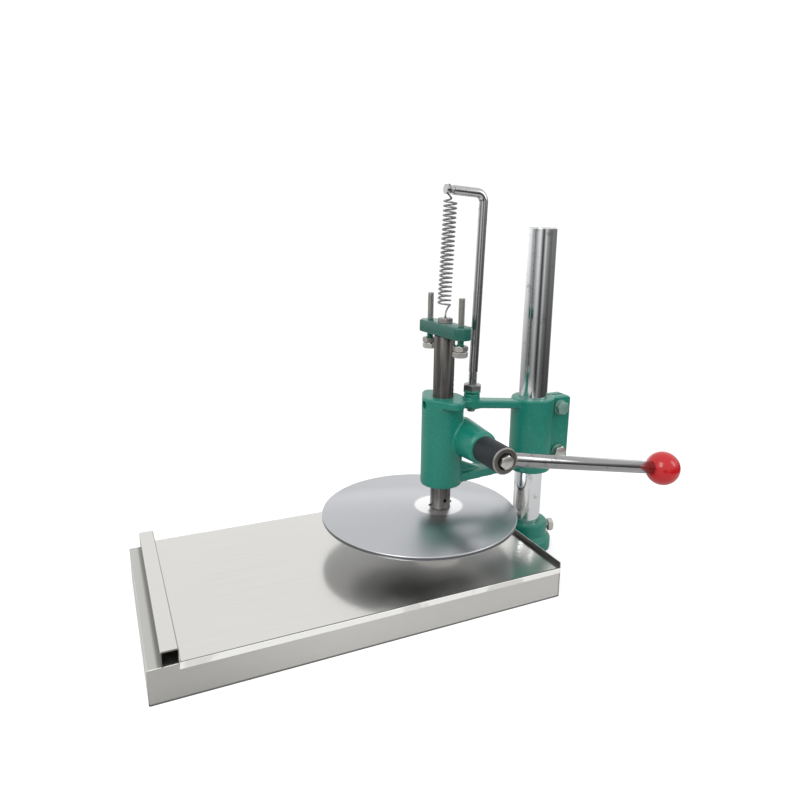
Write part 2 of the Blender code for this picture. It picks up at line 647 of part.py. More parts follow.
def head_casting(paint, parent):
    """Front barrel for the ram, split rear barrel on the column, and the bridge and web between them."""
    barrel = turned([(BARREL_RADIUS - BARREL_CHAMFER, BARREL_BOTTOM),
                     (BARREL_RADIUS, BARREL_BOTTOM + BARREL_CHAMFER),
                     (BARREL_RADIUS, BARREL_TOP - BARREL_CHAMFER),
                     (BARREL_RADIUS - BARREL_CHAMFER, BARREL_TOP)],
                    (0, 0, 0), Z_AXIS, FINE_FACETS)
    turn = Matrix.Rotation(CROSSHEAD_TURN, 3, "Z")
    ears = prism([turn @ Vector((x, y, 0)) for x, y in ear_outline()],
                 (0, 0, BARREL_TOP - STOP_EAR_THICKNESS), (0, 0, BARREL_TOP))
    clamp = turned([(CLAMP_RADIUS - BARREL_CHAMFER, BARREL_BOTTOM),
                    (CLAMP_RADIUS, BARREL_BOTTOM + BARREL_CHAMFER),
                    (CLAMP_RADIUS, CLAMP_TOP - BARREL_CHAMFER),
                    (CLAMP_RADIUS - BARREL_CHAMFER, CLAMP_TOP)],
                   CLAMP_CENTRE, Z_AXIS, FINE_FACETS)
    corner = CLAMP_EAR_CORNER
    flange_outline = rounded_rectangle((COLUMN_OFFSET + COLUMN_RADIUS, CLAMP_EAR_BOTTOM),
                                       (COLUMN_OFFSET + CLAMP_EAR_REACH, CLAMP_TOP - BARREL_CHAMFER),
                                       [0, corner, corner, 0])
    flange = prism([(x, 0, z) for x, z in flange_outline],
                   (0, -CLAMP_EAR_HALF_WIDTH, 0), (0, CLAMP_EAR_HALF_WIDTH, 0))
    bridge_end = COLUMN_OFFSET - COLUMN_RADIUS - OVERRUN
    bridge_start = RAM_RADIUS + OVERRUN
    bridge_outline = [(bridge_start, BRIDGE_FRONT_TOP), (bridge_start, BRIDGE_FRONT_TOP - BRIDGE_THICKNESS),
                      (bridge_end, BRIDGE_REAR_TOP - BRIDGE_THICKNESS), (bridge_end, BRIDGE_REAR_TOP)]
    bridge = prism([(x, 0, z) for x, z in bridge_outline],
                   (0, -BRIDGE_HALF_WIDTH, 0), (0, BRIDGE_HALF_WIDTH, 0))
    web_outline = [(bridge_start, BARREL_BOTTOM + WEB_THICKNESS),
                   (bridge_start, BARREL_BOTTOM + BARREL_CHAMFER / 2),
                   (bridge_end, BARREL_BOTTOM + WEB_REAR_RISE),
                   (bridge_end, BARREL_BOTTOM + WEB_REAR_RISE + WEB_THICKNESS)]
    web = prism([(x, 0, z) for x, z in web_outline], (0, -WEB_HALF_WIDTH, 0), (0, WEB_HALF_WIDTH, 0))
    gusset_foot = BARREL_BOTTOM + WEB_THICKNESS / 2
    gusset_outline = [(bridge_start, gusset_foot), (GUSSET_END, gusset_foot),
                      (bridge_start, BARREL_BOTTOM + GUSSET_RISE)]
    gusset = prism([(x, 0, z) for x, z in gusset_outline], (0, -GUSSET_HALF_WIDTH, 0), (0, GUSSET_HALF_WIDTH, 0))
    near_boss = turned([(NEAR_BOSS_ROOT_RADIUS, 0),
                        (NEAR_BOSS_RIM_RADIUS, -NEAR_BOSS_END - NEAR_BOSS_BEVEL),
                        (NEAR_BOSS_FACE_RADIUS, -NEAR_BOSS_END)],
                       PINION_AXIS, -Y_AXIS)
    far_boss = rod(PINION_AXIS, PINION_AXIS + Y_AXIS * FAR_BOSS_END, FAR_BOSS_RADIUS)
    rod_boss = rod(rod_line(ROD_BOSS_TOP) - rod_direction() * 2 * BRIDGE_THICKNESS, rod_line(ROD_BOSS_TOP),
                   ROD_BOSS_RADIUS, facets=ROUND_FACETS)
    head = joined(barrel, ears, clamp, flange, bridge, web, gusset, near_boss, far_boss, rod_boss)

    below = BARREL_BOTTOM - OVERRUN
    above = BARREL_TOP + OVERRUN
    bores = [rod((0, 0, below), (0, 0, above), RAM_RADIUS + RUNNING_GAP, facets=FINE_FACETS),
             rod(CLAMP_CENTRE + Z_AXIS * below, CLAMP_CENTRE + Z_AXIS * above,
                 COLUMN_RADIUS + RUNNING_GAP, facets=FINE_FACETS),
             block((COLUMN_OFFSET, -CLAMP_SLIT / 2, below),
                   (COLUMN_OFFSET + CLAMP_EAR_REACH + OVERRUN, CLAMP_SLIT / 2, above)),
             rod(PINION_AXIS + Y_AXIS * (NEAR_BOSS_END - OVERRUN), PINION_AXIS + Y_AXIS * PINION_CAVITY_END,
                 PINION_CAVITY_RADIUS),
             rod(PINION_AXIS, PINION_AXIS + Y_AXIS * (FAR_BUSH_END + SEAT_GAP), FAR_BUSH_RADIUS + HOLE_GAP),
             rod(rod_line(ROD_FOOT - OVERRUN), rod_line(ROD_BOSS_TOP + OVERRUN), ROD_RADIUS + HOLE_GAP,
                 facets=SMALL_FACETS),
             rod(guide_screw_end() + X_AXIS * OVERRUN, guide_screw_end() - X_AXIS * (BARREL_RADIUS + OVERRUN),
                 GUIDE_SCREW_RADIUS + HOLE_GAP, facets=SMALL_FACETS)]
    for place in clamp_bolt_places():
        bores.append(rod(place - Y_AXIS * (CLAMP_EAR_HALF_WIDTH + OVERRUN),
                         place + Y_AXIS * (CLAMP_EAR_HALF_WIDTH + OVERRUN),
                         CLAMP_BOLT_RADIUS + HOLE_GAP, facets=SMALL_FACETS))
    return node("head_casting", drilled(head, *bores), paint, parent)


def guide_screw_end():
    """The inner end of the guide screw, next to the ram."""
    return Vector((-RAM_RADIUS - RUNNING_GAP, 0, BARREL_TOP - GUIDE_SCREW_DROP))


def guide_screw(steel, parent):
    start = guide_screw_end()
    return node("ram_guide_screw", rod(start, start - X_AXIS * GUIDE_SCREW_LENGTH, GUIDE_SCREW_RADIUS,
                                       facets=SMALL_FACETS), steel, parent)


def clamp_bolt_places():
    offset = COLUMN_OFFSET + CLAMP_BOLT_OFFSET
    heights = (CLAMP_EAR_BOTTOM + CLAMP_BOLT_END_DISTANCE, CLAMP_TOP - CLAMP_BOLT_END_DISTANCE)
    return [Vector((offset, 0, height)) for height in heights]


def clamp_bolts(zinc, parent):
    """Two bolts that draw the clamp's ears together, each with two washers and a nut."""
    ear_face = CLAMP_EAR_HALF_WIDTH + SEAT_GAP
    washer_face = ear_face + WASHER_THICKNESS + SEAT_GAP
    length = 2 * washer_face + CLAMP_NUT_HEIGHT + CLAMP_BOLT_TAIL
    for name, place in zip(LEVEL_NAMES, clamp_bolt_places()):
        bolt = hex_bolt(place - Y_AXIS * washer_face, Y_AXIS, CLAMP_BOLT_FLATS, CLAMP_BOLT_HEAD,
                        CLAMP_BOLT_RADIUS, length)
        node("clamp_bolt_" + name, bolt, zinc, parent)
        for side_name, side in zip(SIDE_NAMES, SIDES):
            inner = place + Y_AXIS * side * ear_face
            outer = inner + Y_AXIS * side * WASHER_THICKNESS
            washer = rod(inner, outer, WASHER_RADIUS, facets=SMALL_FACETS)
            hole = rod(inner - Y_AXIS * side * OVERRUN, outer + Y_AXIS * side * OVERRUN,
                       CLAMP_BOLT_RADIUS + HOLE_GAP, facets=SMALL_FACETS)
            node("clamp_washer_" + name + "_" + side_name, drilled(washer, hole), zinc, parent)
        nut = ring_nut(place + Y_AXIS * washer_face, Y_AXIS, CLAMP_BOLT_FLATS, CLAMP_NUT_HEIGHT,
                       CLAMP_BOLT_RADIUS + HOLE_GAP)
        node("clamp_nut_" + name, nut, zinc, parent)


def pinion_bushes(bronze, parent):
    """The near bush fills the boss up to the pinion; the far one is a plain sleeve."""
    near_start = PINION_AXIS + Y_AXIS * (NEAR_BOSS_END + SEAT_GAP)
    near_end = PINION_AXIS - Y_AXIS * (PINION_HALF_LENGTH + RUNNING_GAP)
    near = rod(near_start, near_end, BUSH_RADIUS)
    near = drilled(near, rod(near_start - Y_AXIS * OVERRUN, near_end + Y_AXIS * OVERRUN,
                             SHAFT_RADIUS + RUNNING_GAP))
    ram_side = rod((0, 0, BARREL_BOTTOM), (0, 0, BARREL_TOP), RAM_RADIUS + 2 * RUNNING_GAP, facets=FINE_FACETS)
    node("near_pinion_bush", drilled(near, ram_side), bronze, parent)
    far_start = PINION_AXIS + Y_AXIS * (PINION_CAVITY_END + SEAT_GAP)
    far_end = PINION_AXIS + Y_AXIS * FAR_BUSH_END
    far = rod(far_start, far_end, FAR_BUSH_RADIUS)
    far = drilled(far, rod(far_start - Y_AXIS * OVERRUN, far_end + Y_AXIS * OVERRUN, SHAFT_RADIUS + RUNNING_GAP))
    node("far_pinion_bush", far, bronze, parent)


def rod_route():
    """Centre line of the spring's rod: up the leaning leg, round the bend and out along the arm."""
    leg = rod_direction()
    arm = Vector((-math.cos(ROD_ARM_RISE), 0, math.sin(ROD_ARM_RISE)))
    corner = rod_line(ROD_ARM_HEIGHT)
    bend = math.pi - leg.angle(-arm)
    tangent = ROD_BEND_RADIUS * math.tan(bend / 2)
    bend_start = corner - leg * tangent
    centre = bend_start - Vector((math.cos(ROD_LEAN), 0, -math.sin(ROD_LEAN))) * ROD_BEND_RADIUS
    points = [rod_line(ROD_FOOT), bend_start]
    steps = 8
    for step in range(1, steps + 1):
        turn = Matrix.Rotation(-bend * step / steps, 3, "Y")
        points.append(centre + turn @ (bend_start - centre))
    tip_run = (corner.x + ROD_TIP_REACH) / math.cos(ROD_ARM_RISE)
    points.append(corner + arm * tip_run)
    return points


def wire(points, radius, sides_share):
    """A round bar that follows points, with closed ends."""
    curve = bpy.data.curves.new("wire", "CURVE")
    curve.dimensions = "3D"
    curve.bevel_depth = radius
    curve.bevel_resolution = sides_share
    curve.use_fill_caps = True
    spline = curve.splines.new("POLY")
    spline.points.add(len(points) - 1)
    for target, point in zip(spline.points, points):
        target.co = (*point, 1)
    made = bpy.data.objects.new("wire", curve)
    bpy.context.scene.collection.objects.link(made)
    graph = bpy.context.evaluated_depsgraph_get()
    mesh = bpy.data.meshes.new_from_object(made.evaluated_get(graph))
    bpy.data.objects.remove(made, do_unlink=True)
    bm = bmesh.new()
    bm.from_mesh(mesh)
    bmesh.ops.remove_doubles(bm, verts=bm.verts, dist=MERGE_DISTANCE)
    return blank(bm)


def arm_height_at_ram():
    return ROD_ARM_HEIGHT + rod_line(ROD_ARM_HEIGHT).x * math.tan(ROD_ARM_RISE)


def spring_rod(chrome, parent):
    """The bar, with a neck turned near its tip for the spring's loop."""
    bar = wire(rod_route(), ROD_RADIUS, SMALL_FACETS // 4 - 1)
    along = Vector((-math.cos(ROD_ARM_RISE), 0, math.sin(ROD_ARM_RISE)))
    middle = Vector((0, 0, arm_height_at_ram()))
    inner = middle - along * ROD_NECK_INNER
    outer = middle + along * ROD_NECK_OUTER
    waste = drilled(rod(inner, outer, ROD_RADIUS + OVERRUN),
                    rod(inner - along * OVERRUN, outer + along * OVERRUN, ROD_NECK_RADIUS, facets=SMALL_FACETS))
    return node("spring_rod", drilled(bar, waste), chrome, parent)


def rod_nut(zinc, parent):
    """The nut that locks the rod in its boss."""
    bearing = rod_line(ROD_BOSS_TOP) + rod_direction() * SEAT_GAP
    nut = ring_nut(bearing, rod_direction(), ROD_NUT_FLATS, ROD_NUT_HEIGHT, ROD_RADIUS + HOLE_GAP)
    return node("rod_lock_nut", nut, zinc, parent)


def lead(points, radius, top, bottom, lean):
    """Points of a lead: each lies round the coil's centre line, which leans from the axis by a share of lean."""
    sideways = Vector((math.cos(SPRING_LEAN_BEARING), math.sin(SPRING_LEAN_BEARING), 0))
    route = []
    for bearing, out, down in points:
        place = Vector((math.cos(bearing), math.sin(bearing), 0)) * radius * out
        share = down if lean > 0 else 1 - down
        route.append(place + sideways * lean * share + Z_AXIS * (top + (bottom - top) * down))
    return route


def spring_route():
    """Loop round the rod's neck, coil and tail, from the top down."""
    points = []
    loop_steps = 12
    middle = Vector((0, 0, arm_height_at_ram()))
    for step in range(loop_steps + 1):
        angle = SPRING_LOOP_START + (SPRING_LOOP_END - SPRING_LOOP_START) * step / loop_steps
        points.append(middle + SPRING_LOOP_RADIUS * Vector((0, math.cos(angle), math.sin(angle))))
    points += lead(TOP_LEAD_SHARES, SPRING_COIL_RADIUS, points[-1].z, SPRING_COIL_TOP, SPRING_LEAN)
    sideways = Vector((math.cos(SPRING_LEAN_BEARING), math.sin(SPRING_LEAN_BEARING), 0))
    for step in range(SPRING_COIL_STEPS + 1):
        angle = SPRING_COIL_START + math.tau * step / COIL_FACETS
        share = step / SPRING_COIL_STEPS
        height = SPRING_COIL_TOP + (SPRING_COIL_BOTTOM - SPRING_COIL_TOP) * share
        centre = sideways * SPRING_LEAN * (1 - 2 * share) + Z_AXIS * height
        points.append(centre + SPRING_COIL_RADIUS * Vector((math.cos(angle), math.sin(angle), 0)))
    tail_top = CENTRE_BOLT_TOP + SPRING_TAIL_TOP
    points += lead(FOOT_LEAD_SHARES, SPRING_COIL_RADIUS, SPRING_COIL_BOTTOM, tail_top, -SPRING_LEAN)
    points += [Vector((0, 0, tail_top - SPRING_WIRE_RADIUS)), Vector((0, 0, CENTRE_BOLT_TOP - SPRING_TAIL_DEPTH))]
    return points


def return_spring(steel, parent):
    return node("return_spring", wire(spring_route(), SPRING_WIRE_RADIUS, WIRE_SIDES_SHARE), steel, parent)


def rack_cutter():
    """The spaces between the rack's teeth, as one solid beside the ram."""
    tip = RACK_PITCH_LINE + RACK_ADDENDUM
    root = RACK_PITCH_LINE - TOOTH_DEDENDUM
    outside = RAM_RADIUS + OVERRUN
    half_tooth = (TOOTH_PITCH / 2 - TOOTH_BACKLASH) / 2
    tip_half = half_tooth - RACK_ADDENDUM * math.tan(PRESSURE_ANGLE)
    root_half = half_tooth + TOOTH_DEDENDUM * math.tan(PRESSURE_ANGLE)
    first = PINION_HEIGHT + (RACK_LOWEST_TOOTH + 0.5) * TOOTH_PITCH
    outline = [(outside, first - TOOTH_PITCH / 2), (root, first - TOOTH_PITCH / 2)]
    for tooth in range(RACK_TEETH):
        middle = first + tooth * TOOTH_PITCH
        outline += [(root, middle - root_half), (tip, middle - tip_half),
                    (tip, middle + tip_half), (root, middle + root_half)]
    last = first + (RACK_TEETH - 1) * TOOTH_PITCH
    outline += [(root, last + TOOTH_PITCH / 2), (outside, last + TOOTH_PITCH / 2)]
    return prism([(x, 0, z) for x, z in outline], (0, -RAM_RADIUS - OVERRUN, 0), (0, RAM_RADIUS + OVERRUN, 0))


def ram(steel, parent):
    """Round bar with a rack on the pinion's side and a socket in its foot for the disc."""
    bar = rod((0, 0, RAM_BOTTOM), (0, 0, RAM_TOP), RAM_RADIUS, facets=FINE_FACETS)
    socket_top = DISC_TOP + SPIGOT_HEIGHT + SEAT_GAP
    spare_hole = DISC_TOP + RAM_HOLE_ABOVE_DISC
    bar = drilled(bar, rack_cutter(),
                  rod((0, 0, RAM_BOTTOM - OVERRUN), (0, 0, socket_top), SPIGOT_RADIUS + HOLE_GAP),
                  pin_hole(),
                  rod((0, -RAM_RADIUS - OVERRUN, spare_hole), (0, RAM_RADIUS + OVERRUN, spare_hole),
                      RAM_HOLE_RADIUS, facets=SMALL_FACETS),
                  rod((0, 0, centre_bolt_tip() - SEAT_GAP), (0, 0, RAM_TOP + OVERRUN),
                      CENTRE_BOLT_RADIUS + HOLE_GAP, facets=SMALL_FACETS))
    return node("ram", bar, steel, parent)


def pin_height():
    return DISC_TOP + SPIGOT_HEIGHT / 2


def pin_hole():
    return rod((-RAM_RADIUS - OVERRUN, 0, pin_height()), (RAM_RADIUS + OVERRUN, 0, pin_height()),
               DISC_PIN_RADIUS + HOLE_GAP, facets=SMALL_FACETS)


def press_disc(steel, parent):
    """The round plate; its spigot stands off centre, in the ram's foot."""
    centre = Vector((DISC_OFFSET, 0, 0))
    edge = COLUMN_CHAMFER
    plate = turned([(DISC_RADIUS - edge, DISC_BOTTOM), (DISC_RADIUS, DISC_BOTTOM + edge),
                    (DISC_RADIUS, DISC_TOP - edge / 2), (DISC_RADIUS - edge / 2, DISC_TOP)],
                   centre, Z_AXIS, FINE_FACETS + FINE_FACETS // 2)
    spigot = rod((0, 0, DISC_TOP - DISC_THICKNESS / 2), (0, 0, DISC_TOP + SPIGOT_HEIGHT), SPIGOT_RADIUS)
    return node("press_disc", drilled(joined(plate, spigot), pin_hole()), steel, parent)


def disc_pin(steel, parent):
    half = DISC_PIN_LENGTH / 2
    return node("disc_pin", rod((-half, 0, pin_height()), (half, 0, pin_height()), DISC_PIN_RADIUS,
                                facets=SMALL_FACETS), steel, parent)


def turned_place(side):
    """Where a stop stud crosses the crosshead, which is clamped a little askew."""
    return Matrix.Rotation(CROSSHEAD_TURN, 3, "Z") @ Vector((0, side * STUD_HALF_SPACING, 0))


def crosshead(paint, parent):
    turn = Matrix.Rotation(CROSSHEAD_TURN, 3, "Z")
    outline = oblong(CROSSHEAD_HALF_WIDTH, CROSSHEAD_HALF_LENGTH, CROSSHEAD_CORNER)
    bar = prism([turn @ Vector((x, y, 0)) for x, y in outline], (0, 0, CROSSHEAD_BOTTOM), (0, 0, CROSSHEAD_TOP))
    holes = [rod((0, 0, CROSSHEAD_BOTTOM - OVERRUN), (0, 0, CROSSHEAD_TOP + OVERRUN),
                 CENTRE_BOLT_RADIUS + HOLE_GAP, facets=SMALL_FACETS)]
    for side in SIDES:
        place = turned_place(side)
        holes.append(rod(place + Z_AXIS * (CROSSHEAD_BOTTOM - OVERRUN), place + Z_AXIS * (CROSSHEAD_TOP + OVERRUN),
                         STUD_RADIUS + HOLE_GAP, facets=SMALL_FACETS))
    return node("crosshead", drilled(bar, *holes), paint, parent)


def centre_bolt_tip():
    return CROSSHEAD_TOP + SEAT_GAP - CENTRE_BOLT_LENGTH


def centre_bolt(zinc, parent):
    """Bolt that holds the crosshead on the ram; the spring's tail stands in a hole in its head."""
    face = Vector((0, 0, CROSSHEAD_TOP + SEAT_GAP))
    bolt = hex_bolt(face, -Z_AXIS, CENTRE_BOLT_FLATS, CENTRE_BOLT_HEAD, CENTRE_BOLT_RADIUS, CENTRE_BOLT_LENGTH)
    hole = rod((0, 0, CENTRE_BOLT_TOP - SPRING_TAIL_DEPTH - SPRING_WIRE_RADIUS), (0, 0, CENTRE_BOLT_TOP + OVERRUN),
               SPRING_WIRE_RADIUS + HOLE_GAP, facets=SMALL_FACETS)
    return node("crosshead_bolt", drilled(bolt, hole), zinc, parent)


def stop_studs(zinc, parent):
    """A depth stop on each side: a stud in the crosshead, and two nuts locked together near its foot."""
    for side_name, side in zip(SIDE_NAMES, SIDES):
        place = turned_place(side)
        stud = rod(place + Z_AXIS * STUD_BOTTOM, place + Z_AXIS * STUD_TOP, STUD_RADIUS, facets=SMALL_FACETS)
        node("stop_stud_" + side_name, stud, zinc, parent)
        for level, name in enumerate(LEVEL_NAMES):
            height = STUD_BOTTOM + SEAT_GAP + level * (STUD_NUT_HEIGHT + SEAT_GAP)
            nut = ring_nut(place + Z_AXIS * height, Z_AXIS, STUD_NUT_FLATS, STUD_NUT_HEIGHT,
                           STUD_RADIUS + HOLE_GAP)
            node("stop_nut_" + side_name + "_" + name, nut, zinc, parent)


def tooth_points(middle):
    """One pinion tooth as seen along the shaft: an involute on each flank."""
    base_radius = PINION_PITCH_RADIUS * math.cos(PRESSURE_ANGLE)
    root = PINION_PITCH_RADIUS - TOOTH_DEDENDUM
    half_angle = (TOOTH_PITCH / 2 - TOOTH_BACKLASH) / 2 / PINION_PITCH_RADIUS
    pitch_roll = math.tan(PRESSURE_ANGLE) - PRESSURE_ANGLE
    flank = [(root, half_angle + pitch_roll)]
    steps = 3
    for step in range(steps + 1):
        radius = base_radius + (PINION_TIP_RADIUS - base_radius) * step / steps
        angle = math.acos(base_radius / radius)
        flank.append((radius, half_angle + pitch_roll - math.tan(angle) + angle))
    rising = [(radius, middle - half) for radius, half in flank]
    falling = [(radius, middle + half) for radius, half in reversed(flank)]
    return rising + falling


def pinion_shaft(steel, parent):
    """Shaft and pinion in one piece, with a keyway under the hub; a tooth points at the ram."""
    outline = []
    for tooth in range(PINION_TEETH):
        for radius, angle in tooth_points(math.pi + math.tau * tooth / PINION_TEETH):
            outline.append(PINION_AXIS + Vector((radius * math.cos(angle), 0, radius * math.sin(angle))))
    gear = prism(outline, -Y_AXIS * PINION_HALF_LENGTH, Y_AXIS * PINION_HALF_LENGTH)
    shaft = rod(PINION_AXIS + Y_AXIS * SHAFT_END, PINION_AXIS + Y_AXIS * (FAR_BUSH_END - OVERRUN / 2), SHAFT_RADIUS)
    keyway = key_block(HOLE_GAP)
    return node("pinion_shaft", drilled(joined(shaft, gear), keyway), steel, parent)


def key_block(gap):
    """The key between shaft and hub, or with a gap the slot that takes it."""
    half = KEY_WIDTH / 2 + gap
    middle = (HUB_START + SHAFT_END) / 2
    centre = PINION_AXIS + Vector((0, middle, SHAFT_RADIUS))
    reach = Vector((half, KEY_LENGTH / 2 + gap, half))
    return block(centre - reach, centre + reach)


def hub_key(steel, parent):
    return node("hub_key", key_block(0), steel, parent, smooth=False)


def lever_hub(black, parent):
    """Sleeve keyed to the shaft; the lever enters it from the side and a bolt closes its end."""
    length = HUB_START - HUB_END
    profile = [(HUB_RADIUS - HUB_CHAMFER, 0), (HUB_RADIUS, HUB_CHAMFER),
               (HUB_RADIUS, length - HUB_CHAMFER), (HUB_RADIUS - HUB_CHAMFER, length)]
    hub = turned(profile, PINION_AXIS + Y_AXIS * HUB_START, -Y_AXIS)
    axis_end = PINION_AXIS + Y_AXIS * HUB_END
    lever_start = PINION_AXIS + Y_AXIS * LEVER_OFFSET
    bores = [rod(PINION_AXIS + Y_AXIS * (HUB_START + OVERRUN), PINION_AXIS + Y_AXIS * (SHAFT_END - SEAT_GAP),
                 SHAFT_RADIUS + HOLE_GAP),
             key_block(HOLE_GAP),
             rod(lever_start - LEVER_DIRECTION * OVERRUN, lever_start + LEVER_DIRECTION * (HUB_RADIUS + OVERRUN),
                 LEVER_ROOT_RADIUS + HOLE_GAP, facets=SMALL_FACETS),
             rod(axis_end - Y_AXIS * OVERRUN, axis_end + Y_AXIS * HUB_RECESS_DEPTH, HUB_RECESS_RADIUS),
             rod(axis_end - Y_AXIS * OVERRUN, lever_start, HUB_BOLT_RADIUS + HOLE_GAP, facets=SMALL_FACETS)]
    return node("lever_hub", drilled(hub, *bores), black, parent)


def hub_bolt(zinc, parent):
    """Closes the hub's end and bears on the lever's root."""
    face = PINION_AXIS + Y_AXIS * (HUB_END + HUB_RECESS_DEPTH - SEAT_GAP)
    lever_side = LEVER_OFFSET - LEVER_ROOT_RADIUS - SEAT_GAP
    length = lever_side - (HUB_END + HUB_RECESS_DEPTH - SEAT_GAP)
    bolt = hex_bolt(face, Y_AXIS, HUB_BOLT_FLATS, HUB_BOLT_HEAD, HUB_BOLT_RADIUS, length)
    return node("hub_bolt", bolt, zinc, parent)


def lever_rod(chrome, parent):
    """Tapered bar with a turned root in the hub and a threaded stud in the knob."""
    start = PINION_AXIS + Y_AXIS * LEVER_OFFSET
    shoulder = HUB_RADIUS + SEAT_GAP
    knob_face = LEVER_LENGTH - KNOB_RADIUS + COLUMN_CHAMFER
    profile = [(LEVER_ROOT_RADIUS, 0),
               (LEVER_ROOT_RADIUS, shoulder),
               (LEVER_HUB_END_RADIUS, shoulder),
               (LEVER_KNOB_END_RADIUS, knob_face),
               (KNOB_STUD_RADIUS, knob_face),
               (KNOB_STUD_RADIUS, knob_face + KNOB_STUD_LENGTH)]
    return node("lever_rod", turned(profile, start, LEVER_DIRECTION), chrome, parent)


def lever_knob(red, parent):
    bm = bmesh.new()
    bmesh.ops.create_uvsphere(bm, u_segments=SMALL_FACETS + SMALL_FACETS // 2, v_segments=SMALL_FACETS,
                              radius=KNOB_RADIUS)
    start = PINION_AXIS + Y_AXIS * LEVER_OFFSET
    centre = start + LEVER_DIRECTION * LEVER_LENGTH
    bmesh.ops.transform(bm, matrix=facing(centre, LEVER_DIRECTION), verts=bm.verts)
    ball = blank(bm)
    face = LEVER_LENGTH - KNOB_RADIUS + COLUMN_CHAMFER
    flat = rod(start + LEVER_DIRECTION * (face - 2 * OVERRUN), start + LEVER_DIRECTION * (face + SEAT_GAP),
               KNOB_RADIUS, facets=SMALL_FACETS)
    thread = rod(start + LEVER_DIRECTION * face, start + LEVER_DIRECTION * (face + KNOB_STUD_LENGTH + SEAT_GAP),
                 KNOB_STUD_RADIUS + HOLE_GAP, facets=SMALL_FACETS)
    return node("lever_knob", drilled(ball, flat, thread), red, parent)


def main():
    clear_scene()
    paint = finish("green_casting_paint", (0.02, 0.20, 0.145), 0.35, 0)
    chrome = finish("chrome", (0.75, 0.75, 0.76), 0.12, 1)
    bright = finish("stainless_sheet", (0.62, 0.61, 0.58), 0.3, 1)
    plate = finish("ground_steel", (0.5, 0.5, 0.51), 0.35, 1)
    dark = finish("dark_steel", (0.2, 0.19, 0.185), 0.35, 1)
    zinc = finish("zinc_plate", (0.6, 0.6, 0.58), 0.3, 1)
    bronze = finish("bronze", (0.5, 0.33, 0.14), 0.4, 1)
    black = finish("black_oxide", (0.02, 0.02, 0.022), 0.45, 0.6)
    red = finish("red_ball", (0.6, 0.01, 0.012), 0.12, 0)

    base_casting(paint)
    column(chrome)
    collar_set_bolt(zinc)
    base_tray(bright)
    tray_screws(zinc)
    tray_end_bolts(zinc)

    sheet_body = body_empty("sheet_body", (0, 0, SHEET_BOTTOM))
    slide_sheet(bright, sheet_body)

    head_body = body_empty("head_body", CLAMP_CENTRE + Z_AXIS * BARREL_BOTTOM)
    head_casting(paint, head_body)
    guide_screw(dark, head_body)
    clamp_bolts(zinc, head_body)
    pinion_bushes(bronze, head_body)
    spring_rod(chrome, head_body)
    rod_nut(zinc, head_body)
    return_spring(zinc, head_body)

    ram_body = body_empty("ram_body", (0, 0, RAM_BOTTOM))
    ram(dark, ram_body)
    press_disc(plate, ram_body)
    disc_pin(dark, ram_body)
    crosshead(paint, ram_body)
    centre_bolt(zinc, ram_body)
    stop_studs(zinc, ram_body)

    lever_body = body_empty("lever_body", PINION_AXIS)
    pinion_shaft(dark, lever_body)
    hub_key(dark, lever_body)
    lever_hub(black, lever_body)
    hub_bolt(zinc, lever_body)
    lever_rod(chrome, lever_body)
    lever_knob(red, lever_body)


main()
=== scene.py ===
"""The looks of a hand press for dough: metres, +Z up, in the frame of the press's solids."""
import math

import bmesh
import bpy
from mathutils import Matrix, Vector


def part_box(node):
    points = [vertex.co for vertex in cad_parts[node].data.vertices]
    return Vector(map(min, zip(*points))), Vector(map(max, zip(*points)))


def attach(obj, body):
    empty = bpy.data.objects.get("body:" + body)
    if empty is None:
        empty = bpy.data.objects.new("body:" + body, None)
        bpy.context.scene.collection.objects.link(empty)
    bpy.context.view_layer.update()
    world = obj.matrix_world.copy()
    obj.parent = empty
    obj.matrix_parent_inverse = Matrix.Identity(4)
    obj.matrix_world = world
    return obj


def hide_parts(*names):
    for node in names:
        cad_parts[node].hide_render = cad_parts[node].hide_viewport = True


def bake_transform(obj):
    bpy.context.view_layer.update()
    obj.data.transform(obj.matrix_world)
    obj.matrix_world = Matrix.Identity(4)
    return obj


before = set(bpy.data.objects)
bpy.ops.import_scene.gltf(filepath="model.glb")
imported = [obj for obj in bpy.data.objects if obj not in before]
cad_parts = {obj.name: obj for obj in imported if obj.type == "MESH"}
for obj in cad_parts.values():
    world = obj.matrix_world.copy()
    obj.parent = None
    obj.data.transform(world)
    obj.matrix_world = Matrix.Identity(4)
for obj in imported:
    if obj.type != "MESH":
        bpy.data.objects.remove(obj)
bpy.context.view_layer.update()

MM = 0.001
X = Vector((1, 0, 0))
Y = Vector((0, 1, 0))
Z = Vector((0, 0, 1))

# Camera, as the photograph shows the press
CAMERA_PLACE = Vector((-0.374418, -0.692606, 0.431019))
CAMERA_TURN = math.radians(25.523)
CAMERA_DIP = math.radians(13.403)
CAMERA_ROLL = math.radians(0.993)
PICTURE_SIDE = 800
FOCAL_PIXELS = 672.893
AXIS_PIXEL = (410.79, 377.94)
SENSOR = 36

# Floor and light; a wall's shade is listed by its bearing in degrees: 0 behind the camera, 90 on its right
FLOOR_RADIUS = 0.75
FLOOR_GLOW = 0.5
CEILING = (0.95, 0.95, 0.95)
BACKDROP = (1.05, 1.05, 1.05)
WALLS = [(-180, 1), (-150, 0.75), (-112, 0.62), (-101, 0.52), (-89, 0.31), (-70, 0.19), (-60, 0.16),
         (-51, 0.27), (-43, 0.4), (-27, 0.57), (-20, 0.45), (-11, 0.19), (-4, 0.05), (4, 0.045), (11, 0.22),
         (20, 0.48), (27, 0.3), (35, 0.2), (51, 0.13), (60, 0.09), (70, 0.09), (78, 0.13), (128, 0.12),
         (140, 0.4), (152, 0.9), (180, 1)]

